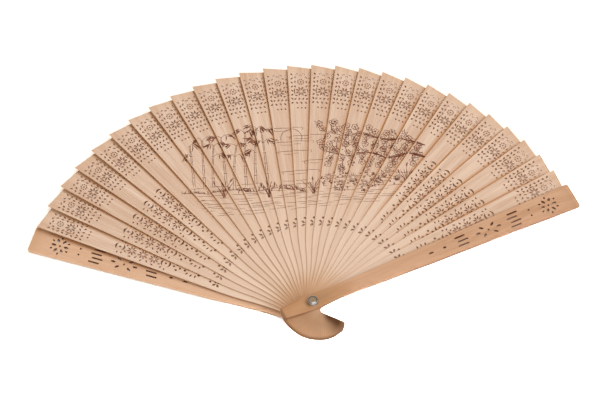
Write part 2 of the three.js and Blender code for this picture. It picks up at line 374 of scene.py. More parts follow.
@dataclass(frozen=True)
class StickShape:
    """Outline that every stick shares, measured from the rivet axis."""

    waist_radius: float = 18.0
    boss_half_width: float = 5.3
    heel_length: float = 21.0
    heel_half_width: float = 3.9
    heel_corner: float = 2.4
    bore: float = 1.58
    bore_points: int = 24
    side_spans: int = 12
    curve_points: int = 10
    corner_points: int = 6

    def half_width(self, along: float, size: StickSize) -> float:
        """Half width of a stick at a distance from the rivet, above the waist."""
        start, start_half = size.shoulder or (self.waist_radius, size.waist_half)
        if along >= start:
            return start_half + (size.tip_half - start_half) * (along - start) / (size.reach - start)
        share = max(0.0, (along - self.waist_radius) / (start - self.waist_radius))
        return size.waist_half + (start_half - size.waist_half) * share

    def is_pierced(self, spot: Vector, size: StickSize, margin: float = 0.5) -> bool:
        """Tells the piercing from the outer edge, which keeps a margin of plain wood, and the rivet's hole."""
        is_along = self.waist_radius < spot.x < size.reach - 6 * margin
        return is_along and abs(spot.y) < self.half_width(spot.x, size) - margin

    def side(self, size: StickSize, slant: float) -> list[Vector]:
        """One side of the outline, from the middle of the heel's end to the tip's corner.

        Args:
            size: Sizes of the stick.
            slant: Rise of the tip's edge towards this side, as a ratio.

        Returns:
            Points on the side of positive Y.
        """
        heel_start = self.heel_corner - self.heel_length
        heel_end = Vector((-self.heel_length, self.heel_half_width - self.heel_corner))
        heel_side = Vector((heel_start, self.heel_half_width))
        boss = Vector((0.0, self.boss_half_width))
        waist = Vector((self.waist_radius, size.waist_half))
        taper_end = Vector(size.shoulder or waist)
        tip = Vector((size.reach + slant * size.tip_half, size.tip_half))
        before_tip = tip + (taper_end - tip).normalized() * size.tip_corner
        after_tip = tip + (Vector((size.reach, 0.0)) - tip).normalized() * size.tip_corner
        points = bent(heel_end, Vector((-self.heel_length, self.heel_half_width)), heel_side, self.corner_points)
        points += bent(heel_side, Vector((heel_start / 2, self.boss_half_width)), boss, self.curve_points)[1:]
        points += self._ease(boss, waist)
        if size.shoulder:
            points += self._ease(waist, taper_end)
        for span in range(1, self.side_spans):
            points.append(taper_end.lerp(before_tip, span / self.side_spans))
        if size.tip_corner > 0.0:
            points += bent(before_tip, tip, after_tip, self.corner_points)
        else:
            points.append(tip)
        return [Vector(point[:2]) for point in points]

    def _ease(self, start: Vector, end: Vector) -> list[Vector]:
        """Points after the start of a change of width that leaves and arrives along the stick."""
        middle = (start.x + end.x) / 2
        controls = (Vector((middle, start.y)), Vector((middle, end.y)))
        return interpolate_bezier(start, *controls, end, self.curve_points)[1:]

    def outline(self, size: StickSize) -> list[Point]:
        """Closed outline of a stick."""
        loop = [(point.x, point.y) for point in self.side(size, size.slant)]
        return loop + [(point.x, -point.y) for point in reversed(self.side(size, -size.slant))]

    def bore_loop(self) -> list[Point]:
        """Loop of the hole for the rivet's shank."""
        return arc_points(0.0, 0.0, self.bore, 0.0, math.tau, self.bore_points)[:-1]

    def mark_seam(self, mesh: bpy.types.Mesh, step: float) -> None:
        """Marks how far each point lies from the edge of the next stick, which rests on this one.

        Beyond the rivet the sticks cross over, so the heel shows its other side.

        Args:
            mesh: Plate in its stick's own frame.
            step: Angle to the next stick.
        """
        cosine, sine = math.cos(step), math.sin(step)
        marks = []
        for vertex in mesh.vertices:
            along = vertex.co.x * cosine - vertex.co.y * sine
            across = vertex.co.x * sine + vertex.co.y * cosine
            marks.append(math.copysign(across, across * vertex.co.x) - self.half_width(along, BLADE_SIZE))
        set_mark(mesh, Mark.SEAM, marks)


@dataclass(frozen=True)
class WallMarks:
    """How dark the walls of a plate are: full in the piercing, little on the sanded edge, more at the heel."""

    flatness: float
    edge: float
    heel: float
    heel_start: float = 1.0
    heel_fade: float = 9.0

    def store(self, mesh: bpy.types.Mesh, shape: StickShape, size: StickSize) -> None:
        """Marks every face of a plate in its stick's own frame.

        Args:
            mesh: The plate.
            shape: Outline that the sticks share.
            size: Sizes of this stick.
        """
        marks = []
        for face in mesh.polygons:
            share = min(1.0, max(0.0, (-face.center.x - self.heel_start) / self.heel_fade))
            outer = self.edge + (self.heel - self.edge) * share
            wall = 1.0 if shape.is_pierced(face.center, size) else outer
            marks.append(0.0 if abs(face.normal.z) > self.flatness else wall)
        set_mark(mesh, Mark.WALL, marks, "FACE")


class FanLayout:
    """Places of all sticks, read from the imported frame.

    The middle blades lie flatter than those near the guards.
    """

    middle_stand: float = 0.85
    outer_stand: float = 1.75
    stand_change: float = 1.5
    end_room: float = 0.252

    def __init__(self, packed: dict) -> None:
        """Reads the joints and boxes from what the frame loader returned."""
        fold = next(joint for joint in packed["joints"] if joint["name"] == "fan_fold")
        self.spread = math.radians(fold["range_deg"][1])
        couplings = packed["record"]["behaviour"]["couplings"]
        shares = {entry["joint"].removesuffix("_pivot"): entry["ratio"] for entry in couplings}
        self.blades = [self._blade(number, name, shares[name]) for number, name in enumerate(sorted(shares), 1)]
        self.rear = self._guard("rear_guard", 0, 0.0)
        self.front = self._guard("front_guard", len(self.blades) + 1, 1.0)

    def step(self, place: StickPlace) -> float:
        """Angle from a stick to the next one, or a half turn at the front guard, which has no next one."""
        sticks = (self.rear, *self.blades, self.front)
        return place.angle - sticks[place.number + 1].angle if place is not self.front else math.pi

    def _angle(self, share: float) -> float:
        """Angle of a stick that is this share of the way from the rear guard to the front one."""
        return (math.pi + self.spread) / 2 - self.spread * share

    def _guard(self, name: str, number: int, share: float) -> StickPlace:
        """Place of a guard, whose back is its node's lowest face."""
        return StickPlace(number, name, self._angle(share), node_levels(name)[0])

    def _blade(self, number: int, name: str, share: float) -> StickPlace:
        """Place of a blade, whose roll shows in the height of its node's box.

        The tips next to a guard stand away from it, so that the fan can close.
        """
        low, high = node_levels(name)
        roll = math.asin((high - low - BLADE_THICKNESS) / (2 * BLADE_SIZE.tip_half))
        level = (low + high - BLADE_THICKNESS * math.cos(roll)) / 2
        off_middle = self.stand_change * abs(share - 0.5)
        stand = self.middle_stand + (self.outer_stand - self.middle_stand) * off_middle
        lift = self.end_room * (1.0 - 2.0 * share)
        return StickPlace(number, name, self._angle(share), level, roll, stand, lift)


def middle_panel(number: int, count: int, by_rear: int = 5, by_front: int = 6) -> MiddlePanel:
    """What the middle of a blade carries: the blades beside each guard are pierced, those between are printed.

    Args:
        number: The blade's number from the rear guard.
        count: Number of blades.
        by_rear: Pierced blades beside the rear guard.
        by_front: Pierced blades beside the front guard.

    Returns:
        The kind of panel.
    """
    is_pierced = number <= by_rear or number > count - by_front
    return MiddlePanel.PIERCED if is_pierced else MiddlePanel.PRINTED


# Piercing


@dataclass
class Piercing:
    """Loops cut through a stick, in the stick's own frame, with sizes as they show on its face.

    A burnt wall leans inwards, so that the hole itself is smaller by the burn on every side. X and Y
    give a hole's place, or the centre that it stands round.
    """

    burn: float = 0.0
    cuts: list[list[Point]] = field(default_factory=list)
    petal_shape: tuple[Point, ...] = (
        (1.0, 0.0), (0.6, 0.7), (0.0, 1.0), (-0.6, 0.7), (-1.0, 0.0), (-0.6, -0.7), (0.0, -1.0), (0.6, -0.7),
    )

    def dot(self, x: float, y: float, radius: float, points: int = 8) -> None:
        """Adds a round hole."""
        self.cuts.append(arc_points(x, y, radius - self.burn, 0.0, math.tau, points)[:-1])

    def petal(self, x: float, y: float, length: float, width: float, angle: float = 0.0) -> None:
        """Adds a hole shaped like a grain of rice, turned from the stick's length by an angle."""
        cosine, sine = math.cos(angle), math.sin(angle)
        loop = []
        for along, across in self.petal_shape:
            dx = along * (length / 2 - self.burn)
            dy = across * (width / 2 - self.burn)
            loop.append((x + dx * cosine - dy * sine, y + dx * sine + dy * cosine))
        self.cuts.append(loop)

    def slot(self, x: float, y: float, length: float, width: float) -> None:
        """Adds a slot with round ends along the stick."""
        run = (length - width) / 2
        far = arc_points(x + run, y, width / 2 - self.burn, -QUARTER, QUARTER, 4)
        near = arc_points(x - run, y, width / 2 - self.burn, QUARTER, 3 * QUARTER, 4)
        self.cuts.append(far + near)

    def crescent(self, x: float, y: float, radius: float, width: float, angle: float, half_angle: float) -> None:
        """Adds a curved hole with pointed ends round a centre.

        Args:
            x: The centre along the stick.
            y: The centre across the stick.
            radius: Radius of its middle line.
            width: Width at its middle.
            angle: Angle of its middle.
            half_angle: Angle from its middle to each end.
        """
        loop = []
        for side, shares in ((1, (-1.0, -0.5, 0.0, 0.5, 1.0)), (-1, (0.5, 0.0, -0.5))):
            for share in shares:
                reach = radius + side * (width / 2 - self.burn) * (1 - share * share)
                loop.append(polar(x, y, reach, angle + share * (half_angle - self.burn / radius)))
        self.cuts.append(loop)

    def rosette(
        self, x: float, y: float, count: int, inner: float, outer: float, width: float, start: float = 0.0
    ) -> None:
        """Adds petals between two radii round a centre, the first at the start angle."""
        for index in range(count):
            angle = start + index * math.tau / count
            self.petal(*polar(x, y, (inner + outer) / 2, angle), outer - inner, width, angle)

    def dot_ring(self, x: float, y: float, count: int, radius: float, dot_radius: float) -> None:
        """Adds small holes round a centre."""
        for index in range(count):
            self.dot(*polar(x, y, radius, (index + 0.5) * math.tau / count), dot_radius, 6)


@dataclass(frozen=True)
class BladePiercing:
    """Piercing of a blade: the tip panel, the middle panel and the low motif.

    The rows of grains give places across, counted from the panel's middle. A pair of grains gives its
    place along and across, its turn and how many times it leans. Other pairs of numbers give a hole's
    length and width, or an arc's radius and width.
    """

    offset: float = 0.8
    grain_length: float = 1.78
    grain_width: float = 1.14
    grain_lean: float = math.radians(38.0)
    border_start: float = 153.0
    border_pitch: float = 3.07
    border_count: int = 8
    border_side: float = 5.6
    first_row: tuple[float, ...] = (-2.8, 0.0, 2.8)
    second_row: tuple[float, ...] = (-3.7, -1.25, 1.25, 3.7)
    row_pitch: float = 3.0
    rosette_at: float = 161.8
    ring_at: float = 168.9
    row_end: float = 174.8
    grain_pairs: tuple[tuple[float, float, float, float], ...] = (
        (158.6, 3.0, 0.0, 2.0), (165.5, 3.7, 0.0, 1.0), (168.9, 3.65, 0.0, 0.0), (172.2, 3.5, 0.0, -1.0),
        (174.8, 2.2, QUARTER, 1.0),
    )
    tip_rosette: Rosette = (8, 1.0, 3.45, 1.2, math.pi / 8)
    tip_arc: Point = (4.2, 0.85)
    tip_arc_half: float = 0.36
    tip_ring: tuple[int, float, float] = (8, 1.8, 0.52)
    tip_dot: float = 0.6
    triple_at: float = 149.3
    triple_pitch: float = 2.4
    triple_dot: float = 0.58
    middle_at: float = 112.9
    ring_spacing: float = 15.4
    ring_dot: float = 0.75
    ring_arc: Point = (2.75, 1.24)
    ring_arc_half: float = math.radians(43.0)
    halo_radius: float = 4.55
    halo_leans: tuple[float, ...] = (85.0, 119.0, 151.0)
    halo_petal: Point = (1.45, 1.0)
    flower_spacing: float = 7.5
    flower: Rosette = (8, 1.0, 3.15, 1.0, math.pi / 8)
    flank_side: float = 4.45
    flank_petal: Point = (1.82, 0.98)
    flank_lean: float = 25.0
    gap_side: float = 3.6
    gap_petal: Point = (1.76, 0.98)
    gap_lean: float = math.radians(110.0)
    diamond_at: float = 90.0
    diamond_reach: float = 2.0
    diamond_dot: float = 0.78
    oval_at: float = 80.0
    oval_reach: float = 4.6
    oval_side: float = 2.0
    oval_dot: float = 0.85
    oval_petal: Point = (1.95, 1.06)
    low_at: float = 63.0
    low_offset: float = 1.9
    low_cross: Rosette = (4, 0.5, 2.9, 1.4, math.pi / 4)
    low_dot_at: float = 67.1
    low_dot: float = 0.8

    def cut(self, panel: MiddlePanel, burn: float) -> Piercing:
        """Cuts everything that a blade carries.

        Args:
            panel: What the blade's middle carries.
            burn: How far the burnt walls lean in.

        Returns:
            The loops.
        """
        piercing = Piercing(burn)
        self._tip_panel(piercing)
        self._low_motif(piercing)
        if panel is MiddlePanel.PIERCED:
            self._middle_panel(piercing)
            self._lower_chain(piercing)
        return piercing

    def _grain(self, piercing: Piercing, x: float, side: float, angle: float) -> None:
        """Adds one grain of the lattice, with its place across counted from the panel's middle."""
        piercing.petal(x, self.offset + side, self.grain_length, self.grain_width, angle)

    def _tip_panel(self, piercing: Piercing) -> None:
        """Adds the lace panel near the tip."""
        lean = self.grain_lean
        for index in range(self.border_count):
            x = self.border_start + index * self.border_pitch
            turn = lean if index % 2 else -lean
            for side in (-1, 1):
                self._grain(piercing, x, side * self.border_side, side * turn)
        for side in self.first_row:
            self._grain(piercing, self.border_start, side, lean)
        for side in self.second_row:
            self._grain(piercing, self.border_start + self.row_pitch, side, -lean)
        for side in (-1, 1):
            for along, across, turn, leans in self.grain_pairs:
                self._grain(piercing, along, side * across, turn + side * leans * lean)
            piercing.crescent(self.rosette_at, self.offset, *self.tip_arc, side * QUARTER, self.tip_arc_half)
        self._grain(piercing, self.row_end - 1.0, 0.0, QUARTER)
        piercing.rosette(self.rosette_at, self.offset, *self.tip_rosette)
        piercing.dot_ring(self.ring_at, self.offset, *self.tip_ring)
        piercing.dot(self.ring_at, self.offset, self.tip_dot)
        for step in (-1, 0, 1):
            piercing.dot(self.triple_at, self.offset + step * self.triple_pitch, self.triple_dot)

    def _middle_panel(self, piercing: Piercing) -> None:
        """Adds the long panel: a ring at each end and three flowers between them."""
        for end in (-1, 1):
            x = self.middle_at + end * self.ring_spacing
            piercing.dot(x, self.offset, self.ring_dot)
            for facing in (0.0, math.pi):
                piercing.crescent(x, self.offset, *self.ring_arc, facing, self.ring_arc_half)
            for lean in self.halo_leans:
                for side in (-1, 1):
                    angle = math.radians(side * lean) if end > 0 else math.pi - math.radians(side * lean)
                    piercing.petal(*polar(x, self.offset, self.halo_radius, angle), *self.halo_petal, angle)
        for step in (-1, 0, 1):
            x = self.middle_at + step * self.flower_spacing
            piercing.rosette(x, self.offset, *self.flower)
            lean = math.radians(self.flank_lean * (step or 2))
            for side in (-1, 1):
                piercing.petal(x, self.offset + side * self.flank_side, *self.flank_petal, side * lean)
        for step in (-0.5, 0.5):
            x = self.middle_at + step * self.flower_spacing
            for side in (-1, 1):
                piercing.petal(x, self.offset + side * self.gap_side, *self.gap_petal, side * step * self.gap_lean)

    def _lower_chain(self, piercing: Piercing) -> None:
        """Adds the diamond of dots and the oval of petals below the middle panel."""
        for step in (-1, 1):
            piercing.dot(self.diamond_at + step * self.diamond_reach, self.offset, self.diamond_dot)
            piercing.dot(self.diamond_at, self.offset + step * self.diamond_reach, self.diamond_dot)
            piercing.dot(self.oval_at + step * self.oval_reach, self.offset, self.oval_dot)
        for lean in (-1, 0, 1):
            x = self.oval_at + lean * self.oval_reach * 0.62
            for side in (-1, 1):
                y = self.offset + side * self.oval_side * (1.0 if lean == 0 else 0.86)
                piercing.petal(x, y, *self.oval_petal, side * (QUARTER + math.radians(-18.0 - 12.0 * lean)))

    def _low_motif(self, piercing: Piercing) -> None:
        """Adds the cross of petals and the single hole over it."""
        piercing.rosette(self.low_at, self.low_offset, *self.low_cross)
        piercing.dot(self.low_dot_at, self.low_offset, self.low_dot)


@dataclass(frozen=True)
class GuardPiercing:
    """Piercing of a guard, counted from its tip. Pairs give a length and a width, or a place."""

    star: float = 18.2
    star_petals: Rosette = (6, 2.4, 5.5, 1.55, 0.0)
    star_sparks: Rosette = (6, 4.9, 6.6, 1.0, math.pi / 6)
    pair: float = 31.0
    pair_spacing: float = 4.4
    dot_radius: float = 0.6
    four_slots: float = 43.0
    daisy: float = 60.1
    daisy_end: float = 7.1
    daisy_side: Point = (3.8, 2.9)
    daisy_petal: Point = (3.2, 1.4)
    three_slots: float = 78.8
    slot_size: Point = (7.0, 1.0)
    slot_pitch: float = 3.1
    last_petal: float = 90.7
    last_size: Point = (2.2, 1.5)
    dash: float = 100.0
    dash_size: Point = (3.6, 1.2)

    def cut(self, reach: float) -> Piercing:
        """Cuts everything that a guard with its tip at this reach carries."""
        piercing = Piercing()
        self._star(piercing, reach - self.star)
        for side in (-0.5, 0.5):
            piercing.dot(reach - self.pair, side * self.pair_spacing, self.dot_radius)
        self._slots(piercing, reach - self.four_slots, 4, 1.4)
        self._daisy(piercing, reach - self.daisy)
        self._slots(piercing, reach - self.three_slots, 3, 1.0)
        piercing.petal(reach - self.last_petal, 0.0, *self.last_size)
        piercing.petal(reach - self.dash, 0.0, *self.dash_size)
        return piercing

    def _star(self, piercing: Piercing, x: float) -> None:
        """Adds the star of long petals and short sparks."""
        piercing.dot(x, 0.0, self.dot_radius)
        piercing.rosette(x, 0.0, *self.star_petals)
        piercing.rosette(x, 0.0, *self.star_sparks)

    def _slots(self, piercing: Piercing, x: float, count: int, stagger: float) -> None:
        """Adds slots side by side, every second one shifted towards the tip."""
        for index in range(count):
            y = (index - (count - 1) / 2) * self.slot_pitch
            piercing.slot(x + index % 2 * stagger, y, *self.slot_size)

    def _daisy(self, piercing: Piercing, x: float) -> None:
        """Adds the long daisy of six petals round a dot."""
        along, across = self.daisy_side
        piercing.dot(x, 0.0, self.dot_radius)
        for end in (-1, 1):
            piercing.petal(x + end * self.daisy_end, 0.0, *self.daisy_petal)
            for side in (-1, 1):
                angle = math.atan2(side * across, end * along)
                piercing.petal(x + end * along, side * across, *self.daisy_petal, angle)


# Print


@dataclass(frozen=True)
class Stroke:
    """One brush stroke: its points and the half width at each of them."""

    points: tuple[Point, ...]
    radii: tuple[float, ...]


class Brush:
    """Draws strokes in the plane of the open fan."""

    def __init__(self, seed: int) -> None:
        """Starts with an empty sheet and the seed of the hand's unevenness."""
        self.hand = random.Random(seed)
        self.strokes: list[Stroke] = []

    def near(self, value: float, spread: float) -> float:
        """A value that strays by up to the spread."""
        return value + self.hand.uniform(-spread, spread)

    def draw(self, points: Sequence[Point], width: float, is_leaf: bool = False) -> None:
        """Adds a stroke that thins at its ends, or all the way to them in a leaf."""
        last = len(points) - 1
        radii = []
        for index in range(len(points)):
            share = math.sin(math.pi * index / last)
            radii.append(width / 2 * (0.25 + 0.75 * share if is_leaf else 0.55 + 0.45 * min(1.0, 4 * share)))
        self.strokes.append(Stroke(tuple(points), tuple(radii)))

    def leaf(self, root: Point, angle: float, length: float, width: float) -> None:
        """Adds one leaf that leaves its root at an angle and bends a little on its way."""
        bend = self.near(0.0, 0.35)
        points = [polar(*root, length * step / 4, angle + bend * step / 4) for step in range(5)]
        self.draw(points, width, is_leaf=True)

    def line(self, start: Point, end: Point, width: float, bow: float = 0.0, waver: float = 0.0) -> list[Point]:
        """Adds a pen line between two points.

        Args:
            start: First point.
            end: Last point.
            width: Its width.
            bow: How far its middle stands off to the left.
            waver: How far each point strays.

        Returns:
            Its points.
        """
        dx = end[0] - start[0]
        dy = end[1] - start[1]
        length = math.hypot(dx, dy)
        count = max(3, round(length / 3.0))
        points = []
        for step in range(count + 1):
            share = step / count
            off = bow * math.sin(math.pi * share) + self.near(0.0, waver)
            points.append((start[0] + dx * share - dy / length * off, start[1] + dy * share + dx / length * off))
        self.draw(points, width)
        return points


@dataclass(frozen=True)
class BambooGrove:
    """Canes with rings and hanging leaves, the dark part of the print."""

    feet: tuple[float, ...] = (-66.0, -59.5, -54.0, -46.0, -41.0, -33.5, -27.5, -20.0)
    ground: float = 94.0
    top_radius: float = 143.0
    ring_pitch: float = 7.5
    cane_width: float = 1.3
    leaf_length: float = 5.6
    leaf_width: float = 0.72

    def draw(self, brush: Brush) -> None:
        """Draws the grove."""
        for index, foot in enumerate(self.feet):
            lean = brush.near(0.06, 0.1)
            base = brush.near(self.ground, 2.5)
            shortening = brush.near(6.0, 6.0)
            height = math.sqrt(self.top_radius**2 - foot**2) - base - shortening
            self._cane(brush, (foot, base), height, lean, index)

    def _cane(self, brush: Brush, foot: Point, height: float, lean: float, index: int) -> None:
        """Draws one cane as two edge lines with rings, and its leaves."""
        count = int(height / self.ring_pitch)
        for ring in range(count):
            share = (ring + 1) / count
            low = (foot[0] + lean * height * (ring / count) ** 2, foot[1] + height * ring / count)
            high = (foot[0] + lean * height * share**2, foot[1] + height * share - 0.6)
            half = self.cane_width / 2 * (1.15 - 0.7 * share)
            for side in (-half, half):
                brush.line((low[0] + side, low[1]), (high[0] + side, high[1]), width=0.32)
            reach, level = half + 0.5, high[1] + 0.25
            brush.line((high[0] - reach, level), (high[0] + reach, level), width=0.5, bow=-0.25)
            if ring > 1 + index % 2:
                self._spray(brush, high, share)

    def _spray(self, brush: Brush, root: Point, share: float) -> None:
        """Draws twigs to both sides of a ring with leaves that hang from their ends."""
        for side in (-1, 1):
            if brush.hand.random() > 0.45 + 0.5 * share:
                continue
            reach = brush.near(4.6, 1.8)
            end = (root[0] + side * reach, root[1] + brush.near(2.6, 1.4))
            brush.line(root, end, width=0.26, bow=side * 0.5)
            for spot in (0.6, 0.8, 1.0):
                for _ in range(2):
                    angle = -QUARTER + side * brush.near(0.75, 0.6)
                    length = self.leaf_length * brush.near(0.85, 0.25)
                    brush.leaf(between(root, end, spot), angle, length, self.leaf_width * brush.near(0.9, 0.2))


@dataclass(frozen=True)
class BlossomBranch:
    """A bent branch with five-petalled blossoms and buds, from its thick end to its tip."""

    path: tuple[Point, ...]
    thickness: float = 1.7
    twig_length: float = 10.0
    buds: int = 12
    petal_radius: float = 0.85
    blossom_radius: float = 1.35

    def draw(self, brush: Brush) -> None:
        """Draws the branch span by span."""
        for index, (start, end) in enumerate(zip(self.path, self.path[1:])):
            width = self.thickness * (1 - 0.15 * index)
            for _ in range(3):
                bow = brush.near(0.0, 0.9)
                brush.line(start, end, width * brush.near(0.5, 0.2), bow, waver=0.25)
            self._twigs(brush, start, end)

    def _twigs(self, brush: Brush, start: Point, end: Point) -> None:
        """Draws the twigs of one span, each with blossoms along it."""
        for spot, side in ((0.1, -1), (0.35, 1), (0.6, -1), (0.85, 1)):
            root = between(start, end, spot)
            angle = math.pi + side * brush.near(-1.05, 0.3)
            reach = self.twig_length * brush.near(0.85, 0.3)
            tip = polar(*root, reach, angle)
            points = brush.line(root, tip, width=0.42, bow=side * 0.9, waver=0.15)
            for step in (0.45, 1.0):
                x, y = points[round(step * (len(points) - 1))]
                self._blossom(brush, brush.near(x, 1.2), brush.near(y, 1.2))
            for _ in range(self.buds):
                x, y = points[brush.hand.randrange(1, len(points))]
                turn = brush.hand.uniform(0.0, math.tau)
                spot = (brush.near(x, 1.8), brush.near(y, 1.8))
                brush.leaf(spot, turn, length=brush.near(1.2, 0.4), width=0.5)

    def _blossom(self, brush: Brush, x: float, y: float) -> None:
        """Draws one open blossom with its stamens."""
        start = brush.near(0.0, 0.6)
        for petal in range(5):
            angle = start + petal * math.tau / 5
            centre = polar(x, y, self.blossom_radius, angle)
            brush.draw(arc_points(*centre, self.petal_radius, angle - 2.0, angle + 2.0, 6), width=0.34)
            brush.leaf((x, y), angle + 0.3, length=1.1, width=0.3)


@dataclass(frozen=True)
class MoonAndMist:
    """A round moon behind long bands of mist, each with its left end, right end and level."""

    centre: Point = (-3.0, 127.0)
    radius: float = 6.6
    band_radius: float = 0.85
    bands: tuple[Spot, ...] = (
        (-16.0, 10.0, 124.0), (-6.0, 18.0, 128.0), (-14.0, 8.0, 117.0), (-22.0, 4.0, 134.5), (2.0, 20.0, 109.0),
        (-12.0, 12.0, 102.0),
    )

    def draw(self, brush: Brush) -> None:
        """Draws the moon's rim and the bands."""
        brush.draw(arc_points(*self.centre, self.radius, -0.45, math.pi + 0.45, 20), width=0.36)
        for left, right, level in self.bands:
            lower = level - 2 * self.band_radius
            middle = level - self.band_radius
            brush.line((left, level), (right, level), width=0.34, bow=0.4, waver=0.12)
            brush.line((left + 5.0, lower), (right - 7.0, lower), width=0.28, bow=-0.3, waver=0.1)
            for x, start in ((right, -QUARTER), (left + 2.5, QUARTER)):
                brush.draw(arc_points(x, middle, self.band_radius, start, start + math.pi, 5), width=0.3)


@dataclass(frozen=True)
class ChrysanthemumBed:
    """Full round flowers over dense leaves, on the bank across the pond. Each head has its place and radius."""

    heads: tuple[Spot, ...] = (
        (18.0, 96.0, 3.4), (26.5, 100.5, 3.0), (33.0, 94.0, 3.7), (41.5, 99.0, 3.2), (47.5, 92.5, 3.4),
        (55.0, 97.5, 3.0), (60.5, 91.0, 3.2), (25.0, 90.5, 2.8), (40.0, 89.0, 2.8),
    )
    petals: int = 16
    leaves: int = 12
    leaf_length: float = 2.8

    def draw(self, brush: Brush) -> None:
        """Draws the flowers and their leaves."""
        for x, y, radius in self.heads:
            self._leaves(brush, x, y - 1.2 * radius, radius)
            for ring in (1.0, 0.62):
                start = 0.35 * ring * radius
                for petal in range(self.petals):
                    angle = (petal + ring) * math.tau / self.petals
                    length = (ring * radius - start) * brush.near(0.95, 0.1)
                    brush.leaf(polar(x, y, start, angle), angle + 0.2, length, width=0.26)

    def _leaves(self, brush: Brush, x: float, y: float, radius: float) -> None:
        """Draws lobed leaves in a heap under one flower."""
        for _ in range(self.leaves):
            spot = (brush.near(x, 1.5 * radius), brush.near(y, 0.9 * radius))
            angle = brush.hand.uniform(-0.4, math.pi + 0.4)
            for turn in (-0.6, 0.0, 0.6):
                brush.leaf(spot, angle + turn, self.leaf_length * brush.near(0.6, 0.2), width=0.36)


@dataclass(frozen=True)
class PondBank:
    """The bank under the grove, stones with moss, ripples and reeds. Each stone has its place and radius."""

    bank: tuple[Point, ...] = (
        (-74.0, 92.0), (-58.0, 90.5), (-43.0, 92.5), (-29.0, 89.5), (-14.0, 91.0), (2.0, 87.5),
    )
    stones: tuple[Spot, ...] = ((-9.0, 89.0, 4.6), (-0.5, 87.0, 3.2), (-35.0, 89.8, 3.8), (47.0, 88.0, 4.4))
    ripple_levels: tuple[float, ...] = (74.5, 76.4, 78.0, 79.4, 80.8, 82.2, 83.6, 85.2, 86.8, 89.0, 92.0, 95.0)
    reed_roots: tuple[Point, ...] = ((-20.0, 84.5), (-48.0, 87.0), (66.0, 86.0), (8.0, 84.0))
    reeds: int = 9
    reed_length: float = 12.0
    tufts: int = 16
    hatches: int = 7

    def draw(self, brush: Brush) -> None:
        """Draws the bank and the pond."""
        for start, end in zip(self.bank, self.bank[1:]):
            brush.line(start, end, width=0.5, bow=brush.near(0.3, 0.6), waver=0.2)
            self._tufts(brush, start, end)
        for x, y, radius in self.stones:
            self._stone(brush, x, y, radius)
        for level in self.ripple_levels:
            self._ripples(brush, level)
        for root in self.reed_roots:
            self._reeds(brush, root)

    def _tufts(self, brush: Brush, start: Point, end: Point) -> None:
        """Draws short grass along one span of the bank."""
        for _ in range(self.tufts):
            root = between(start, end, brush.hand.random())
            brush.leaf(root, QUARTER + brush.near(0.0, 0.7), length=brush.near(2.6, 1.1), width=0.42)

    def _stone(self, brush: Brush, x: float, y: float, radius: float) -> None:
        """Draws a stone with hatching on its shaded side."""
        rim = arc_points(x, y, radius, -0.3, math.pi + 0.25, 14)
        brush.draw([(px, y + (py - y) * 0.72) for px, py in rim], width=0.5)
        for step in range(self.hatches):
            foot = x + radius * (0.15 + 0.12 * step)
            top = y + radius * (0.58 - 0.07 * step)
            brush.line((foot, y - 0.2), (foot - 1.0, top), width=0.34, bow=0.2)

    def _ripples(self, brush: Brush, level: float) -> None:
        """Draws broken level lines across the pond."""
        reach = 0.78 * level
        x = -reach + brush.near(4.0, 4.0)
        while x < reach:
            end = min(x + brush.near(13.0, 8.0), reach)
            if end - x > 3.0:
                ends = ((x, brush.near(level, 0.5)), (end, brush.near(level, 0.5)))
                brush.line(*ends, width=0.3, bow=brush.near(0.0, 0.5), waver=0.1)
            x = end + brush.near(9.0, 7.0)

    def _reeds(self, brush: Brush, root: Point) -> None:
        """Draws a clump of reeds that bend outwards, with dark heads."""
        for index in range(self.reeds):
            lean = (index - 4) * 0.14 + brush.near(0.0, 0.08)
            length = self.reed_length * brush.near(0.85, 0.25)
            tip = (root[0] + length * math.sin(lean), root[1] + length * math.cos(lean))
            brush.line((brush.near(root[0], 0.8), root[1]), tip, width=0.4, bow=lean * 1.6)
            if index % 3 == 1:
                brush.leaf(tip, QUARTER - lean, length=3.2, width=1.05)


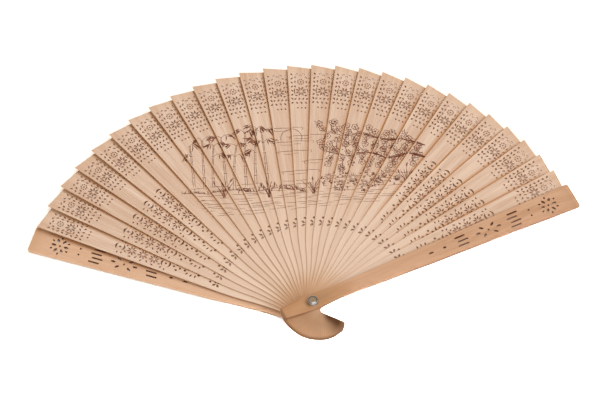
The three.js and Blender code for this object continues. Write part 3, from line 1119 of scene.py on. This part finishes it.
@dataclass(frozen=True)
class PrintedScene:
    """The print over the middle of the open fan, shared out among the blades that carry it."""

    seed: int = 20
    step: float = 0.5
    edge_margin: float = 0.34
    inner_radius: float = 73.5
    outer_radius: float = 146.0
    ink_rise: float = 0.012
    ink_depth: float = 0.008
    low_branch: tuple[Point, ...] = (
        (84.0, 104.0), (68.0, 109.0), (56.0, 106.0), (43.0, 112.0), (31.0, 110.0), (18.0, 115.0),
    )
    high_branch: tuple[Point, ...] = (
        (80.0, 114.0), (66.0, 120.0), (53.0, 121.0), (40.0, 127.0), (29.0, 126.0), (17.0, 131.0),
    )
    high_thickness: float = 1.4

    def strokes(self) -> list[Stroke]:
        """Draws the whole scene in the plane of the fan."""
        brush = Brush(self.seed)
        branches = (BlossomBranch(self.low_branch), BlossomBranch(self.high_branch, self.high_thickness))
        for motif in (PondBank(), BambooGrove(), *branches, ChrysanthemumBed(), MoonAndMist()):
            motif.draw(brush)
        return brush.strokes

    def share_out(self, layout: FanLayout, shape: StickShape) -> dict[str, list[Stroke]]:
        """Cuts the strokes where one blade gives way to the next.

        Args:
            layout: Places of the sticks.
            shape: Outline of a stick.

        Returns:
            For each printed blade's body, its strokes in the blade's own frame.
        """
        shares: dict[str, list[Stroke]] = {}
        for stroke in self.strokes():
            run: list[tuple[Point, float]] = []
            owner = ""
            for point, radius in self._walk(stroke):
                body, spot = self._upper_blade(point, layout, shape)
                if body != owner:
                    self._close_run(shares, owner, run)
                    run = []
                    owner = body
                run.append((spot, radius))
            self._close_run(shares, owner, run)
        return shares

    def _walk(self, stroke: Stroke) -> Iterable[tuple[Point, float]]:
        """Yields points along a stroke at a short step, with the half width at each."""
        ends = list(zip(stroke.points, stroke.radii))
        for (start, thin), (end, thick) in zip(ends, ends[1:]):
            count = max(1, round(math.dist(start, end) / self.step))
            for index in range(count):
                share = index / count
                yield between(start, end, share), thin + (thick - thin) * share
        yield ends[-1]

    def _upper_blade(self, point: Point, layout: FanLayout, shape: StickShape) -> tuple[str, Point]:
        """Finds the printed blade that shows at a point, with an empty name where there is none."""
        if self.inner_radius < math.hypot(*point) < self.outer_radius:
            for place in reversed(layout.blades):
                along, across = place.local(*point)
                if along > 0.0 and abs(across) < shape.half_width(along, BLADE_SIZE) - self.edge_margin:
                    is_printed = middle_panel(place.number, len(layout.blades)) is MiddlePanel.PRINTED
                    return (place.body if is_printed else ""), (along, across)
        return "", point

    @staticmethod
    def _close_run(shares: dict[str, list[Stroke]], owner: str, run: list[tuple[Point, float]]) -> None:
        """Keeps a run of points on one blade as a stroke of its own."""
        if owner and len(run) > 1:
            shares.setdefault(owner, []).append(Stroke(*zip(*run)))

    def mesh(self, name: str, strokes: Sequence[Stroke]) -> bpy.types.Mesh:
        """Lays the strokes of one blade on its face as thin ridges of ink, in the blade's own frame."""
        curve = bpy.data.curves.new(name, "CURVE")
        curve.dimensions = "3D"
        curve.twist_mode = "Z_UP"
        curve.bevel_depth = 1.0
        curve.bevel_resolution = 0
        curve.use_fill_caps = True
        for stroke in strokes:
            add_spline(curve, stroke.points, stroke.radii)
        mesh = mesh_from_curve(curve)
        for vertex in mesh.vertices:
            height = 0.0
            if abs(vertex.co.z) > MERGE_DISTANCE:
                height = self.ink_rise if vertex.co.z > 0.0 else -self.ink_depth
            vertex.co.z = BLADE_THICKNESS + height
        return mesh


# Finishes


class NodeBench:
    """Adds and joins the nodes of one tree."""

    def __init__(self, tree: bpy.types.NodeTree) -> None:
        """Clears the tree to work on."""
        self.tree = tree
        tree.nodes.clear()

    def add(self, kind: str, feeds: dict | None = None, **settings: object) -> bpy.types.Node:
        """Adds a node.

        Args:
            kind: Type of the node.
            feeds: Value or socket for each input, by name or number.
            settings: The node's own settings.

        Returns:
            The node.
        """
        node = self.tree.nodes.new(kind)
        for name, value in settings.items():
            setattr(node, name, value)
        for key, value in (feeds or {}).items():
            if isinstance(value, bpy.types.NodeSocket):
                self.tree.links.new(value, node.inputs[key])
            else:
                node.inputs[key].default_value = value
        return node

    def math(self, operation: str, *values: object) -> bpy.types.NodeSocket:
        """Result of an arithmetic node on values or sockets."""
        return self.add("ShaderNodeMath", dict(enumerate(values)), operation=operation).outputs[0]

    def product(self, first: object, *others: object) -> bpy.types.NodeSocket:
        """Product of values or sockets."""
        for other in others:
            first = self.math("MULTIPLY", first, other)
        return first

    def mix(self, factor: object, first: object, second: object) -> bpy.types.NodeSocket:
        """Colour between two colours."""
        return self.add("ShaderNodeMix", {0: factor, 6: first, 7: second}, data_type="RGBA").outputs[2]

    def span(self, value: object, low: float, high: float, start: float, end: float) -> bpy.types.NodeSocket:
        """Maps a range of a value to another range, held at its ends."""
        feeds = {0: value, 1: low, 2: high, 3: start, 4: end}
        return self.add("ShaderNodeMapRange", feeds, interpolation_type="SMOOTHSTEP").outputs[0]

    def noise(self, place: object, stretch: Spot, detail: float = 2.0) -> bpy.types.NodeSocket:
        """Noise on a stretched place, with its features one unit wide before the stretch."""
        mapped = self.add("ShaderNodeMapping", {"Vector": place, "Scale": stretch})
        feeds = {"Vector": mapped.outputs[0], "Scale": 1.0, "Detail": detail, "Roughness": 0.6}
        return self.add("ShaderNodeTexNoise", feeds).outputs[0]

    def mark(self, mark: Mark, output: str = "Fac") -> bpy.types.NodeSocket:
        """Value of a mark on the mesh."""
        return self.add("ShaderNodeAttribute", attribute_name=mark.value).outputs[output]

    def axes(self, place: object) -> bpy.types.NodeOutputs:
        """The three parts of a place."""
        return self.add("ShaderNodeSeparateXYZ", {0: place}).outputs

    def bump(self, strength: float, depth: float, height: object) -> bpy.types.NodeSocket:
        """Normal of a surface with this height on it, of a depth in millimetres."""
        feeds = {"Strength": strength, "Distance": depth * MM, "Height": height}
        return self.add("ShaderNodeBump", feeds).outputs[0]

    def group(self, name: str, feeds: dict) -> bpy.types.NodeOutputs:
        """Outputs of a shared node group."""
        return self.add("ShaderNodeGroup", feeds, node_tree=bpy.data.node_groups[name]).outputs


def new_group(name: str, inputs: dict[str, str], outputs: dict[str, str]) -> NodeBench:
    """Makes an empty shader node group.

    Args:
        name: Name of the group.
        inputs: Type of each input by its name.
        outputs: Type of each output by its name.

    Returns:
        A bench on the group's tree.
    """
    tree = bpy.data.node_groups.new(name, "ShaderNodeTree")
    for side, sockets in (("INPUT", inputs), ("OUTPUT", outputs)):
        for label, kind in sockets.items():
            tree.interface.new_socket(name=label, in_out=side, socket_type="NodeSocket" + kind)
    return NodeBench(tree)


def build_grain_group() -> None:
    """Builds the group that gives the colour of both woods and the height of their fibres."""
    inputs = {"Place": "Vector", "Stick": "Float", "Pale": "Color", "Deep": "Color"}
    bench = new_group(GRAIN_GROUP, inputs, {"Color": "Color", "Height": "Float"})
    given = bench.add("NodeGroupInput").outputs
    apart = bench.add("ShaderNodeCombineXYZ", {axis: given["Stick"] for axis in range(3)})
    feeds = {0: apart.outputs[0], 1: (7.31, 3.17, 5.73), 2: given["Place"]}
    place = bench.add("ShaderNodeVectorMath", feeds, operation="MULTIPLY_ADD").outputs[0]
    figure = bench.noise(place, (0.14, 2.1, 2.1), 3.0)
    streak = bench.noise(place, (0.55, 13.0, 13.0), 4.0)
    fibre = bench.noise(place, (2.4, 55.0, 55.0), 2.0)
    tone = bench.math("MULTIPLY_ADD", figure, 0.45, bench.math("MULTIPLY", streak, 0.4))
    tone = bench.math("MULTIPLY_ADD", fibre, 0.15, tone)
    colour = bench.mix(bench.span(tone, 0.36, 0.64, 0.0, 1.0), given["Pale"], given["Deep"])
    height = bench.math("MULTIPLY_ADD", streak, 0.6, bench.math("MULTIPLY", fibre, 0.4))
    bench.add("NodeGroupOutput", {"Color": colour, "Height": height})


def build_tone_and_shade_group() -> None:
    """Builds the group that gives tones along a stick in centimetres, painted shade and light among them.

    The wood is warm round the rivet and along the tip. Painted shade darkens the heel's rim, and most of all the
    heels of the sticks next to the rear guard; painted light makes the band between paler, lifting the seam shade.
    """
    outputs = {"Warm": "Float", "PaintedShade": "Float", "PaintedLift": "Float"}
    bench = new_group(TONE_AND_SHADE_GROUP, {"Place": "Vector", "Stick": "Float"}, outputs)
    given = bench.add("NodeGroupInput").outputs
    along = bench.axes(given["Place"])[0]
    rivet = bench.span(along, 0.6, 3.5, 1.0, 0.0)
    tip = bench.span(along, 17.2, 18.1, 0.0, 0.4)
    patches = bench.span(bench.noise(given["Place"], (0.6, 1.3, 1.3), 2.0), 0.35, 0.7, 0.8, 1.1)
    warm = bench.product(bench.math("MAXIMUM", rivet, tip), patches)
    # painted shade: darker along the heel's rim and over the heels of the sticks next to the rear guard
    rim = bench.span(along, -2.1, -1.85, 0.6, 0.0)
    by_rear = bench.span(given["Stick"], 1.0, 11.0, 1.0, 0.0)
    heel = bench.span(along, -0.9, -0.2, 1.0, 0.0)
    lower = bench.product(by_rear, heel, bench.span(along, -2.0, -1.6, 0.7, 1.0))
    # painted light: a paler band from 1.5 to 11 cm that lifts the shaded seam lines near the rivet
    painted_lift = bench.product(bench.span(along, 1.5, 3.5, 0.0, 1.0), bench.span(along, 5.0, 11.0, 0.6, 0.0))
    dark = bench.math("MAXIMUM", rim, lower)
    bench.add("NodeGroupOutput", {"Warm": warm, "PaintedShade": dark, "PaintedLift": painted_lift})


@dataclass(frozen=True)
class Finish:
    """A material made of procedural nodes."""

    name: str

    def material(self) -> bpy.types.Material:
        """Builds the material."""
        material = bpy.data.materials.new(self.name)
        material.use_nodes = True
        bench = NodeBench(material.node_tree)
        shader = bench.add("ShaderNodeBsdfPrincipled", self.feeds(bench))
        bench.add("ShaderNodeOutputMaterial", {"Surface": shader.outputs[0]})
        return material

    def feeds(self, bench: NodeBench) -> dict[str, object]:
        """Value or socket for each input of the shader that the finish sets."""
        raise NotImplementedError


@dataclass(frozen=True)
class WoodFinish(Finish):
    """Sanded wood with a scorched edge along every cut."""

    pale: Colour
    deep: Colour
    warm: Colour
    scorch: Colour
    # colour of the painted shade on the heel
    painted_heel_shade: Colour
    # colour of the painted shade along the next stick's edge
    seam_shade: Colour
    roughness: Point
    bump: float
    warmth: float = 0.9
    tint: float = 0.22
    burn: float = 0.85

    def feeds(self, bench: NodeBench) -> dict[str, object]:
        """Mixes the colours by the grain, the tones along the stick with their painted shade and light, and the
        marks on the mesh.
        """
        place = bench.mark(Mark.PLACE, "Vector")
        stick = bench.mark(Mark.STICK)
        spot = {"Place": place, "Stick": stick}
        wood = bench.group(GRAIN_GROUP, {**spot, "Pale": self.pale, "Deep": self.deep})
        tones_and_shade = bench.group(TONE_AND_SHADE_GROUP, spot)
        tint = bench.add("ShaderNodeTexWhiteNoise", {"W": stick}, noise_dimensions="1D").outputs["Value"]
        colour = wood["Color"]
        for mask, tone in (
            # painted light: a paler band that lifts the shaded seam lines near the rivet
            (tones_and_shade["PaintedLift"], self.pale),
            (bench.product(tones_and_shade["Warm"], self.warmth), self.warm),
            (bench.product(tint, self.tint), self.deep),
            # painted shade along the next stick's edge and between the heels
            (self._painted_seam_shade_mask(bench, place, stick), self.seam_shade),
            # painted shade on the heel's rim and on the heels next to the rear guard
            (tones_and_shade["PaintedShade"], self.painted_heel_shade),
            (bench.product(bench.mark(Mark.WALL), self.burn), self.scorch),
        ):
            colour = bench.mix(mask, colour, tone)
        rough = bench.span(wood["Height"], 0.3, 0.7, *self.roughness)
        return {"Base Color": colour, "Roughness": rough, "Normal": bench.bump(0.5, self.bump, wood["Height"])}

    @staticmethod
    def _painted_seam_shade_mask(bench: NodeBench, place: object, stick: object) -> bpy.types.NodeSocket:
        """Painted shade on the face along the next stick's edge, more towards the front guard, and between the
        heels.
        """
        seam = bench.mark(Mark.SEAM)
        along, _, height = bench.axes(place)
        seam_shade = bench.product(
            bench.math("ADD", bench.span(seam, 0.2, 1.5, 0.35, 0.0), bench.span(seam, 0.0, 3.4, 0.4, 0.0)),
            bench.span(along, 5.0, 13.0, 0.05, 1.0),
            bench.span(stick, 12.0, 22.0, 1.0, 2.0),
            bench.span(stick, 27.2, 27.8, 1.0, 0.0),
            bench.span(along, 16.8, 17.8, 1.0, 0.35),
        )
        # painted shade between the heels
        heel = bench.product(bench.span(seam, 0.1, 0.9, 0.4, 0.0), bench.span(along, -1.0, -0.4, 1.0, 0.0))
        covered = bench.span(seam, -2.5, -0.5, 0.0, 1.0)
        face = bench.span(height, 0.015, 0.03, 0.0, 1.0)
        return bench.product(bench.math("MAXIMUM", seam_shade, heel), covered, face)


@dataclass(frozen=True)
class InkFinish(Finish):
    """Printed ink that lies unevenly on the wood."""

    name: str = "print_ink"
    dark: Colour = (0.085, 0.028, 0.018, 1.0)
    thin: Colour = (0.190, 0.082, 0.052, 1.0)

    def feeds(self, bench: NodeBench) -> dict[str, object]:
        """Mixes thick and thin ink in patches."""
        place = bench.add("ShaderNodeTexCoord").outputs["Object"]
        patches = bench.noise(place, (420.0, 420.0, 420.0), 3.0)
        colour = bench.mix(bench.span(patches, 0.35, 0.65, 0.0, 1.0), self.dark, self.thin)
        rough = bench.span(patches, 0.3, 0.7, 0.55, 0.75)
        return {"Base Color": colour, "Roughness": rough, "Specular IOR Level": 0.2}


@dataclass(frozen=True)
class TapeFinish(Finish):
    """Ribbed silk tape."""

    name: str = "link_silk"
    high: Colour = (0.80, 0.71, 0.58, 1.0)
    low: Colour = (0.58, 0.48, 0.36, 1.0)
    threads_per_cm: float = 46.0
    sheen: float = 0.3

    def feeds(self, bench: NodeBench) -> dict[str, object]:
        """Weaves threads along and across the tape."""
        place = bench.mark(Mark.PLACE, "Vector")
        lines = list(bench.axes(place))[:2]
        waves = [bench.math("SINE", bench.product(line, math.tau * self.threads_per_cm)) for line in lines]
        weave = bench.math("MULTIPLY_ADD", bench.product(*waves), 0.5, 0.5)
        slubs = bench.noise(place, (30.0, 8.0, 8.0), 2.0)
        tone = bench.math("MULTIPLY_ADD", weave, 0.6, bench.product(slubs, 0.4))
        return {
            "Base Color": bench.mix(tone, self.low, self.high),
            "Roughness": bench.span(slubs, 0.3, 0.7, 0.7, 0.85),
            "Normal": bench.bump(0.6, 0.03, weave),
            "Sheen Weight": self.sheen,
        }


@dataclass(frozen=True)
class ChromeFinish(Finish):
    """Polished plate with fine handling scratches."""

    name: str = "rivet_chrome"
    bright: Colour = (0.56, 0.61, 0.67, 1.0)
    dull: Colour = (0.42, 0.45, 0.49, 1.0)

    def feeds(self, bench: NodeBench) -> dict[str, object]:
        """Dulls the plate with a film and scratches."""
        place = bench.add("ShaderNodeTexCoord").outputs["Object"]
        scratches = bench.noise(place, (900.0, 6000.0, 900.0), 3.0)
        film = bench.noise(place, (500.0, 500.0, 500.0), 2.0)
        worn = bench.span(scratches, 0.45, 0.75, 0.06, 0.16)
        return {
            "Base Color": bench.mix(bench.span(film, 0.5, 0.8, 0.0, 0.6), self.bright, self.dull),
            "Roughness": bench.math("ADD", worn, bench.span(film, 0.5, 0.8, 0.0, 0.1)),
            "Normal": bench.bump(0.08, 0.01, scratches),
            "Metallic": 1.0,
        }


@dataclass(frozen=True)
class FloorFinish(Finish):
    """Plain pale paper."""

    name: str = "pale_floor"
    colour: Colour = (0.93, 0.93, 0.93, 1.0)

    def feeds(self, bench: NodeBench) -> dict[str, object]:
        """Keeps the floor nearly without shine."""
        return {"Base Color": self.colour, "Roughness": 0.9, "Specular IOR Level": 0.1}


BLADE_FINISH = WoodFinish(
    name="blade_wood",
    pale=(0.622, 0.538, 0.470, 1.0),
    deep=(0.478, 0.362, 0.286, 1.0),
    warm=(0.520, 0.335, 0.192, 1.0),
    scorch=(0.200, 0.072, 0.025, 1.0),
    # painted shade colour on the heel
    painted_heel_shade=(0.088, 0.034, 0.010, 1.0),
    # painted shade colour along the next stick's edge
    seam_shade=(0.420, 0.215, 0.090, 1.0),
    roughness=(0.52, 0.66),
    bump=0.05,
)
GUARD_FINISH = WoodFinish(
    name="guard_wood",
    pale=(0.507, 0.344, 0.241, 1.0),
    deep=(0.399, 0.248, 0.154, 1.0),
    warm=(0.372, 0.224, 0.120, 1.0),
    scorch=(0.150, 0.054, 0.020, 1.0),
    # painted shade colour on the heel
    painted_heel_shade=(0.070, 0.028, 0.009, 1.0),
    # painted shade colour along the next stick's edge
    seam_shade=(0.300, 0.140, 0.060, 1.0),
    roughness=(0.42, 0.56),
    bump=0.06,
)
REAR_GUARD_FINISH = replace(
    GUARD_FINISH, name="rear_guard_wood", pale=(0.590, 0.436, 0.330, 1.0), deep=(0.505, 0.350, 0.248, 1.0)
)


@dataclass(frozen=True)
class Finishes:
    """All materials of the fan."""

    blade: bpy.types.Material
    rear_guard: bpy.types.Material
    front_guard: bpy.types.Material
    tape: bpy.types.Material
    rivet: bpy.types.Material
    ink: bpy.types.Material

    @classmethod
    def build(cls) -> "Finishes":
        """Builds the shared groups and every material."""
        build_grain_group()
        build_tone_and_shade_group()
        woods = (BLADE_FINISH, REAR_GUARD_FINISH, GUARD_FINISH)
        return cls(*(finish.material() for finish in (*woods, TapeFinish(), ChromeFinish(), InkFinish())))


# Sub-assemblies


@dataclass
class StickSet:
    """What the blades and the guards share."""

    layout: FanLayout
    shape: StickShape
    finishes: Finishes
    size: StickSize = BLADE_SIZE
    walls: WallMarks = WallMarks(flatness=0.9, edge=0.05, heel=0.35)

    def set_up(self, plate: bpy.types.Mesh, place: StickPlace, material: bpy.types.Material, slot: Slot) -> None:
        """Marks a plate, lays it in the fan and hands it over.

        Args:
            plate: Plate in its stick's own frame.
            place: The stick's place.
            material: The stick's finish.
            slot: Material slot of the record.
        """
        mark_stick(plate, place.number)
        self.walls.store(plate, self.shape, self.size)
        self.shape.mark_seam(plate, self.layout.step(place))
        place.lay(plate)
        hand_over(new_piece(f"{place.body}_wood", plate, material), place.body, slot, place.body)


@dataclass
class BladeSet(StickSet):
    """The thin pierced blades and the print on them."""

    flare: float = 0.285
    twist_pitch: float = 9.0

    def build(self) -> None:
        """Builds every blade and its share of the print."""
        plates = {panel: self._plate(panel) for panel in MiddlePanel}
        for place in self.layout.blades:
            plate = plates[middle_panel(place.number, len(self.layout.blades))].copy()
            self.set_up(plate, place, self.finishes.blade, Slot.BLADE)
        for plate in plates.values():
            bpy.data.meshes.remove(plate)
        self._print()

    def _plate(self, panel: MiddlePanel) -> bpy.types.Mesh:
        """Cuts one blade in its own frame."""
        outline = self.shape.outline(self.size)
        cuts = [self.shape.bore_loop(), *BladePiercing().cut(panel, self.flare).cuts]
        height = 2.0 * self.flare + MERGE_DISTANCE
        plate = pierced_plate(f"blade_{panel.value}", outline, cuts, height, self.flare, 0)
        plate.transform(Matrix.Diagonal((1.0, 1.0, BLADE_THICKNESS / height, 1.0)))
        cross_cuts(plate, self.shape.waist_radius, self.size.reach, self.twist_pitch)
        return plate

    def _print(self) -> None:
        """Lays the print on the blades that carry it."""
        scene = PrintedScene()
        shares = scene.share_out(self.layout, self.shape)
        for place in self.layout.blades:
            if place.body in shares:
                name = f"{place.body}_print"
                mesh = scene.mesh(name, shares[place.body])
                place.lay(mesh)
                hand_over(new_piece(name, mesh, self.finishes.ink), place.body, Slot.BLADE)


@dataclass
class GuardPair(StickSet):
    """The two thicker outer sticks."""

    size: StickSize = StickSize(181.8, 9.0, 4.7, tip_corner=1.6)
    walls: WallMarks = WallMarks(flatness=0.3, edge=0.12, heel=0.7)
    rounding: float = 0.35
    rounding_steps: int = 2

    def build(self) -> None:
        """Builds both guards."""
        outline = self.shape.outline(self.size)
        cuts = [self.shape.bore_loop(), *GuardPiercing().cut(self.size.reach).cuts]
        woods = (self.finishes.rear_guard, self.finishes.front_guard)
        for place, material in zip((self.layout.rear, self.layout.front), woods):
            low, high = node_levels(place.body)
            plate = pierced_plate(place.body, outline, cuts, high - low, self.rounding, self.rounding_steps)
            smooth(plate, sharp_angle=35.0)
            self.set_up(plate, place, material, Slot.GUARD)


@dataclass
class LinkTapes:
    """Ribbed strips on the backs of the sticks, which keep the spread even."""

    layout: FanLayout
    finishes: Finishes
    rib_pitch: float = 0.5
    rib_height: float = 0.018
    lanes: int = 4

    def build(self) -> None:
        """Builds the strip of every stick but the rear guard."""
        for place in (*self.layout.blades, self.layout.front):
            node = f"link_tape_{place.number:02d}"
            mesh = self._strip(node, place)
            mark_stick(mesh, place.number)
            place.lay(mesh)
            hand_over(new_piece(f"{node}_silk", mesh, self.finishes.tape), place.body, Slot.TAPE, node)

    def _strip(self, node: str, place: StickPlace) -> bpy.types.Mesh:
        """Weaves one strip in the space of its node, in its stick's own frame."""
        back = (place.matrix() @ Matrix.Rotation(place.roll, 4, "X")).inverted()
        spots = [back @ (vertex.co / MM) for vertex in frame["nodes"][node].data.vertices]
        low, high = (Vector(pick(spot[axis] for spot in spots) for axis in range(3)) for pick in (min, max))
        size = high - low
        ribs = round(size.y / self.rib_pitch)
        mesh = bpy.data.meshes.new(node)
        with edited(mesh) as work:
            bmesh.ops.create_grid(work, x_segments=self.lanes, y_segments=2 * ribs, size=0.5)
            bmesh.ops.scale(work, vec=(size.x, size.y, 1.0), verts=work.verts)
            bmesh.ops.translate(work, vec=((low.x + high.x) / 2, (low.y + high.y) / 2, high.z), verts=work.verts)
            bmesh.ops.solidify(work, geom=work.faces[:], thickness=size.z)
            bottom = min(vertex.co.z for vertex in work.verts)
            bmesh.ops.translate(work, vec=(0.0, 0.0, low.z - bottom), verts=work.verts)
            for vertex in work.verts:
                turn = (vertex.co.y - low.y) / size.y * ribs * math.tau
                inwards = 1 if vertex.co.z < (low.z + high.z) / 2 else -1
                vertex.co.z += inwards * self.rib_height * (0.5 - 0.5 * math.cos(turn))
            bmesh.ops.recalc_face_normals(work, faces=work.faces)
        smooth(mesh, sharp_angle=50.0)
        return mesh


@dataclass
class Rivet:
    """The shank with its rear head, the washer and the polished dome."""

    finishes: Finishes
    body: str = "rear_guard"
    pin_radius: float = 1.5
    head_radius: float = 3.2
    head_thickness: float = 0.8
    centre_mark: float = 0.25
    washer_radius: float = 3.6
    washer_bore: float = 1.58
    dome_radius: float = 3.3
    dome_rim: float = 0.6
    socket_depth: float = 1.3
    easing: float = 0.18
    dome_steps: int = 18

    def build(self) -> None:
        """Builds the three turned pieces."""
        profiles = {"rivet_pin": self._pin(), "rivet_washer": self._washer(), "rivet_dome": self._dome()}
        for node, profile in profiles.items():
            mesh = turned(node, profile)
            mesh.transform(Matrix.Scale(MM, 4))
            piece = new_piece(f"{node}_turned", mesh, self.finishes.rivet)
            hand_over(piece, self.body, Slot.RIVET, node)

    def _eased(self, radius: float, height: float, turn: float) -> list[Point]:
        """Rounded corner at a radius and height, from the given angle on for a quarter turn."""
        up = height + (self.easing if turn < 0.0 else -self.easing)
        return arc_points(radius - self.easing, up, self.easing, turn, turn + QUARTER, 4)

    def _pin(self) -> list[Point]:
        """Profile of the shank and the rear head, with a shallow centre mark."""
        low, high = node_levels("rivet_pin")
        return [
            (0.0, low + self.centre_mark),
            (0.7, low + 0.6 * self.centre_mark),
            (1.2, low),
            *self._eased(self.head_radius, low, -QUARTER),
            *self._eased(self.head_radius, low + self.head_thickness, 0.0),
            (self.pin_radius, low + self.head_thickness),
            (self.pin_radius, high),
            (0.0, high),
        ]

    def _washer(self) -> list[Point]:
        """Profile of the washer."""
        low, high = node_levels("rivet_washer")
        rim = self._eased(self.washer_radius, low, -QUARTER) + self._eased(self.washer_radius, high, 0.0)
        return [(self.washer_bore, low), *rim, (self.washer_bore, high)]

    def _dome(self) -> list[Point]:
        """Profile of the dome with its socket over the shank's end."""
        low, high = node_levels("rivet_dome")
        socket_top = low + self.socket_depth
        shoulder = low + self.dome_rim
        profile = [(0.0, socket_top), (self.washer_bore, socket_top), (self.washer_bore, low)]
        profile += self._eased(self.dome_radius, low, -QUARTER)
        for step in range(self.dome_steps):
            angle = step / self.dome_steps * QUARTER
            profile.append((self.dome_radius * math.cos(angle), shoulder + (high - shoulder) * math.sin(angle)))
        return [*profile, (0.0, high)]


# Studio


def towards(azimuth: float, elevation: float) -> Vector:
    """Direction at two angles in degrees."""
    turn, rise = math.radians(azimuth), math.radians(elevation)
    return Vector((math.cos(turn) * math.cos(rise), math.sin(turn) * math.cos(rise), math.sin(rise)))


@dataclass(frozen=True)
class Softbox:
    """A rectangular soft light that looks at the fan. A light that isn't mirrored stays out of reflections."""

    name: str
    azimuth: float
    elevation: float
    distance: float
    size: Point
    power: float
    colour: Spot = (1.0, 1.0, 1.0)
    spread: float = 180.0
    shift: Spot = (0.0, 0.0, 0.0)
    mirrored: bool = True

    def hang(self, target: Vector, floor: bpy.types.Object, floor_state: str) -> None:
        """Puts the light in the scene.

        Args:
            target: Point that it looks at, in metres.
            floor: The floor.
            floor_state: EXCLUDE to spare the floor, INCLUDE to light nothing else.
        """
        data = bpy.data.lights.new(self.name, "AREA")
        data.shape = "RECTANGLE"
        data.size, data.size_y = self.size
        data.energy = self.power
        data.color = self.colour
        data.spread = math.radians(self.spread)
        light = bpy.data.objects.new(self.name, data)
        back = towards(self.azimuth, self.elevation)
        place = target + Vector(self.shift) * MM + back * self.distance
        light.matrix_world = Matrix.Translation(place) @ back.to_track_quat("Z", "Y").to_matrix().to_4x4()
        light.visible_glossy = self.mirrored
        bpy.context.scene.collection.objects.link(light)
        group = bpy.data.collections.new(f"{self.name}_floor")
        group.objects.link(floor)
        group.collection_objects[0].light_linking.link_state = floor_state
        light.light_linking.receiver_collection = group


@dataclass(frozen=True)
class Studio:
    """Camera, pale floor and soft light."""

    image_width: int = 612
    focal_pixels: float = 5082.0
    sensor_width: float = 36.0
    aim: Spot = (2.5, 78.4, 10.0)
    distance: float = 3166.0
    azimuth: float = -97.3
    elevation: float = 57.41
    camera_roll: float = 3.31
    clip_end: float = 100.0
    floor_half: float = 6000.0
    floor_gap: float = 0.1
    sky_colour: Colour = (1.0, 0.66, 0.40, 1.0)
    sky_horizon: float = 0.10
    sky_zenith: float = 0.56
    fan_lights: tuple[Softbox, ...] = (
        Softbox(
            "side_softbox", azimuth=2.0, elevation=42.0, distance=6.0, size=(4.4, 3.0), power=210.0,
            mirrored=False,
        ),
        Softbox(
            "back_softbox", azimuth=66.0, elevation=37.0, distance=4.0, size=(2.6, 1.8), power=73.0,
            mirrored=False,
        ),
        Softbox("front_softbox", azimuth=-70.0, elevation=40.0, distance=4.0, size=(5.4, 3.2), power=50.0),
        Softbox(
            "left_fill", azimuth=205.0, elevation=11.0, distance=4.0, size=(2.0, 1.2), power=120.0, mirrored=False,
            colour=(1.0, 0.74, 0.48),
        ),
    )
    floor_lights: tuple[Softbox, ...] = (
        Softbox("upper_wash", azimuth=-97.0, elevation=78.0, distance=2.4, size=(2.6, 2.6), power=80.0),
        Softbox(
            "lower_wash", azimuth=-68.0, elevation=57.0, distance=1.5, size=(0.2, 0.02), power=0.3, spread=4.0,
            shift=(78.0, -58.0, -10.0),
        ),
        Softbox(
            "heel_wash", azimuth=-68.0, elevation=40.0, distance=1.5, size=(0.03, 0.02), power=0.05, spread=3.0,
            shift=(-10.0, -86.0, -10.0),
        ),
    )

    def build(self) -> None:
        """Sets up everything round the fan."""
        floor = self._floor()
        self._camera()
        self._sky()
        target = Vector(self.aim) * MM
        for lights, floor_state in ((self.fan_lights, "EXCLUDE"), (self.floor_lights, "INCLUDE")):
            for softbox in lights:
                softbox.hang(target, floor, floor_state)
        bpy.context.scene.view_settings.view_transform = "Standard"

    def _camera(self) -> None:
        """Puts the camera at the viewing angle."""
        back = towards(self.azimuth, self.elevation)
        right = towards(self.azimuth + 90.0, 0.0)
        roll = Matrix.Rotation(math.radians(self.camera_roll), 4, "Z")
        turn = Matrix((right, back.cross(right), back)).transposed().to_4x4() @ roll
        data = bpy.data.cameras.new("view_camera")
        data.sensor_width = self.sensor_width
        data.lens = self.focal_pixels / self.image_width * self.sensor_width
        data.clip_end = self.clip_end
        camera = bpy.data.objects.new("view_camera", data)
        camera.matrix_world = Matrix.Translation((Vector(self.aim) + back * self.distance) * MM) @ turn
        bpy.context.scene.collection.objects.link(camera)
        bpy.context.scene.camera = camera

    def _floor(self) -> bpy.types.Object:
        """Lays a wide pale floor under the fan."""
        mesh = bpy.data.meshes.new("floor")
        with edited(mesh) as work:
            bmesh.ops.create_grid(work, x_segments=1, y_segments=1, size=self.floor_half * MM)
            bmesh.ops.translate(work, vec=(0.0, 0.0, CAD_BOX[0][2] - self.floor_gap * MM), verts=work.verts)
        floor = new_piece("floor", mesh, FloorFinish().material())
        return floor

    def _sky(self) -> None:
        """Lights the room from above, fading towards the horizon."""
        world = bpy.data.worlds.new("studio_room")
        world.use_nodes = True
        bench = NodeBench(world.node_tree)
        height = bench.axes(bench.add("ShaderNodeTexCoord").outputs["Generated"])[2]
        strength = bench.span(height, 0.0, 0.8, self.sky_horizon, self.sky_zenith)
        light = bench.add("ShaderNodeBackground", {"Color": self.sky_colour, "Strength": strength})
        bench.add("ShaderNodeOutputWorld", {"Surface": light.outputs[0]})
        bpy.context.scene.world = world


def main() -> None:
    """Builds the fan and the studio."""
    logging.basicConfig(level=logging.INFO, format="%(name)s: %(message)s")
    shape = StickShape()
    layout = FanLayout(frame)
    finishes = Finishes.build()
    Studio().build()
    BladeSet(layout, shape, finishes).build()
    GuardPair(layout, shape, finishes).build()
    LinkTapes(layout, finishes).build()
    Rivet(finishes).build()


if __name__ == "__main__":
    main()
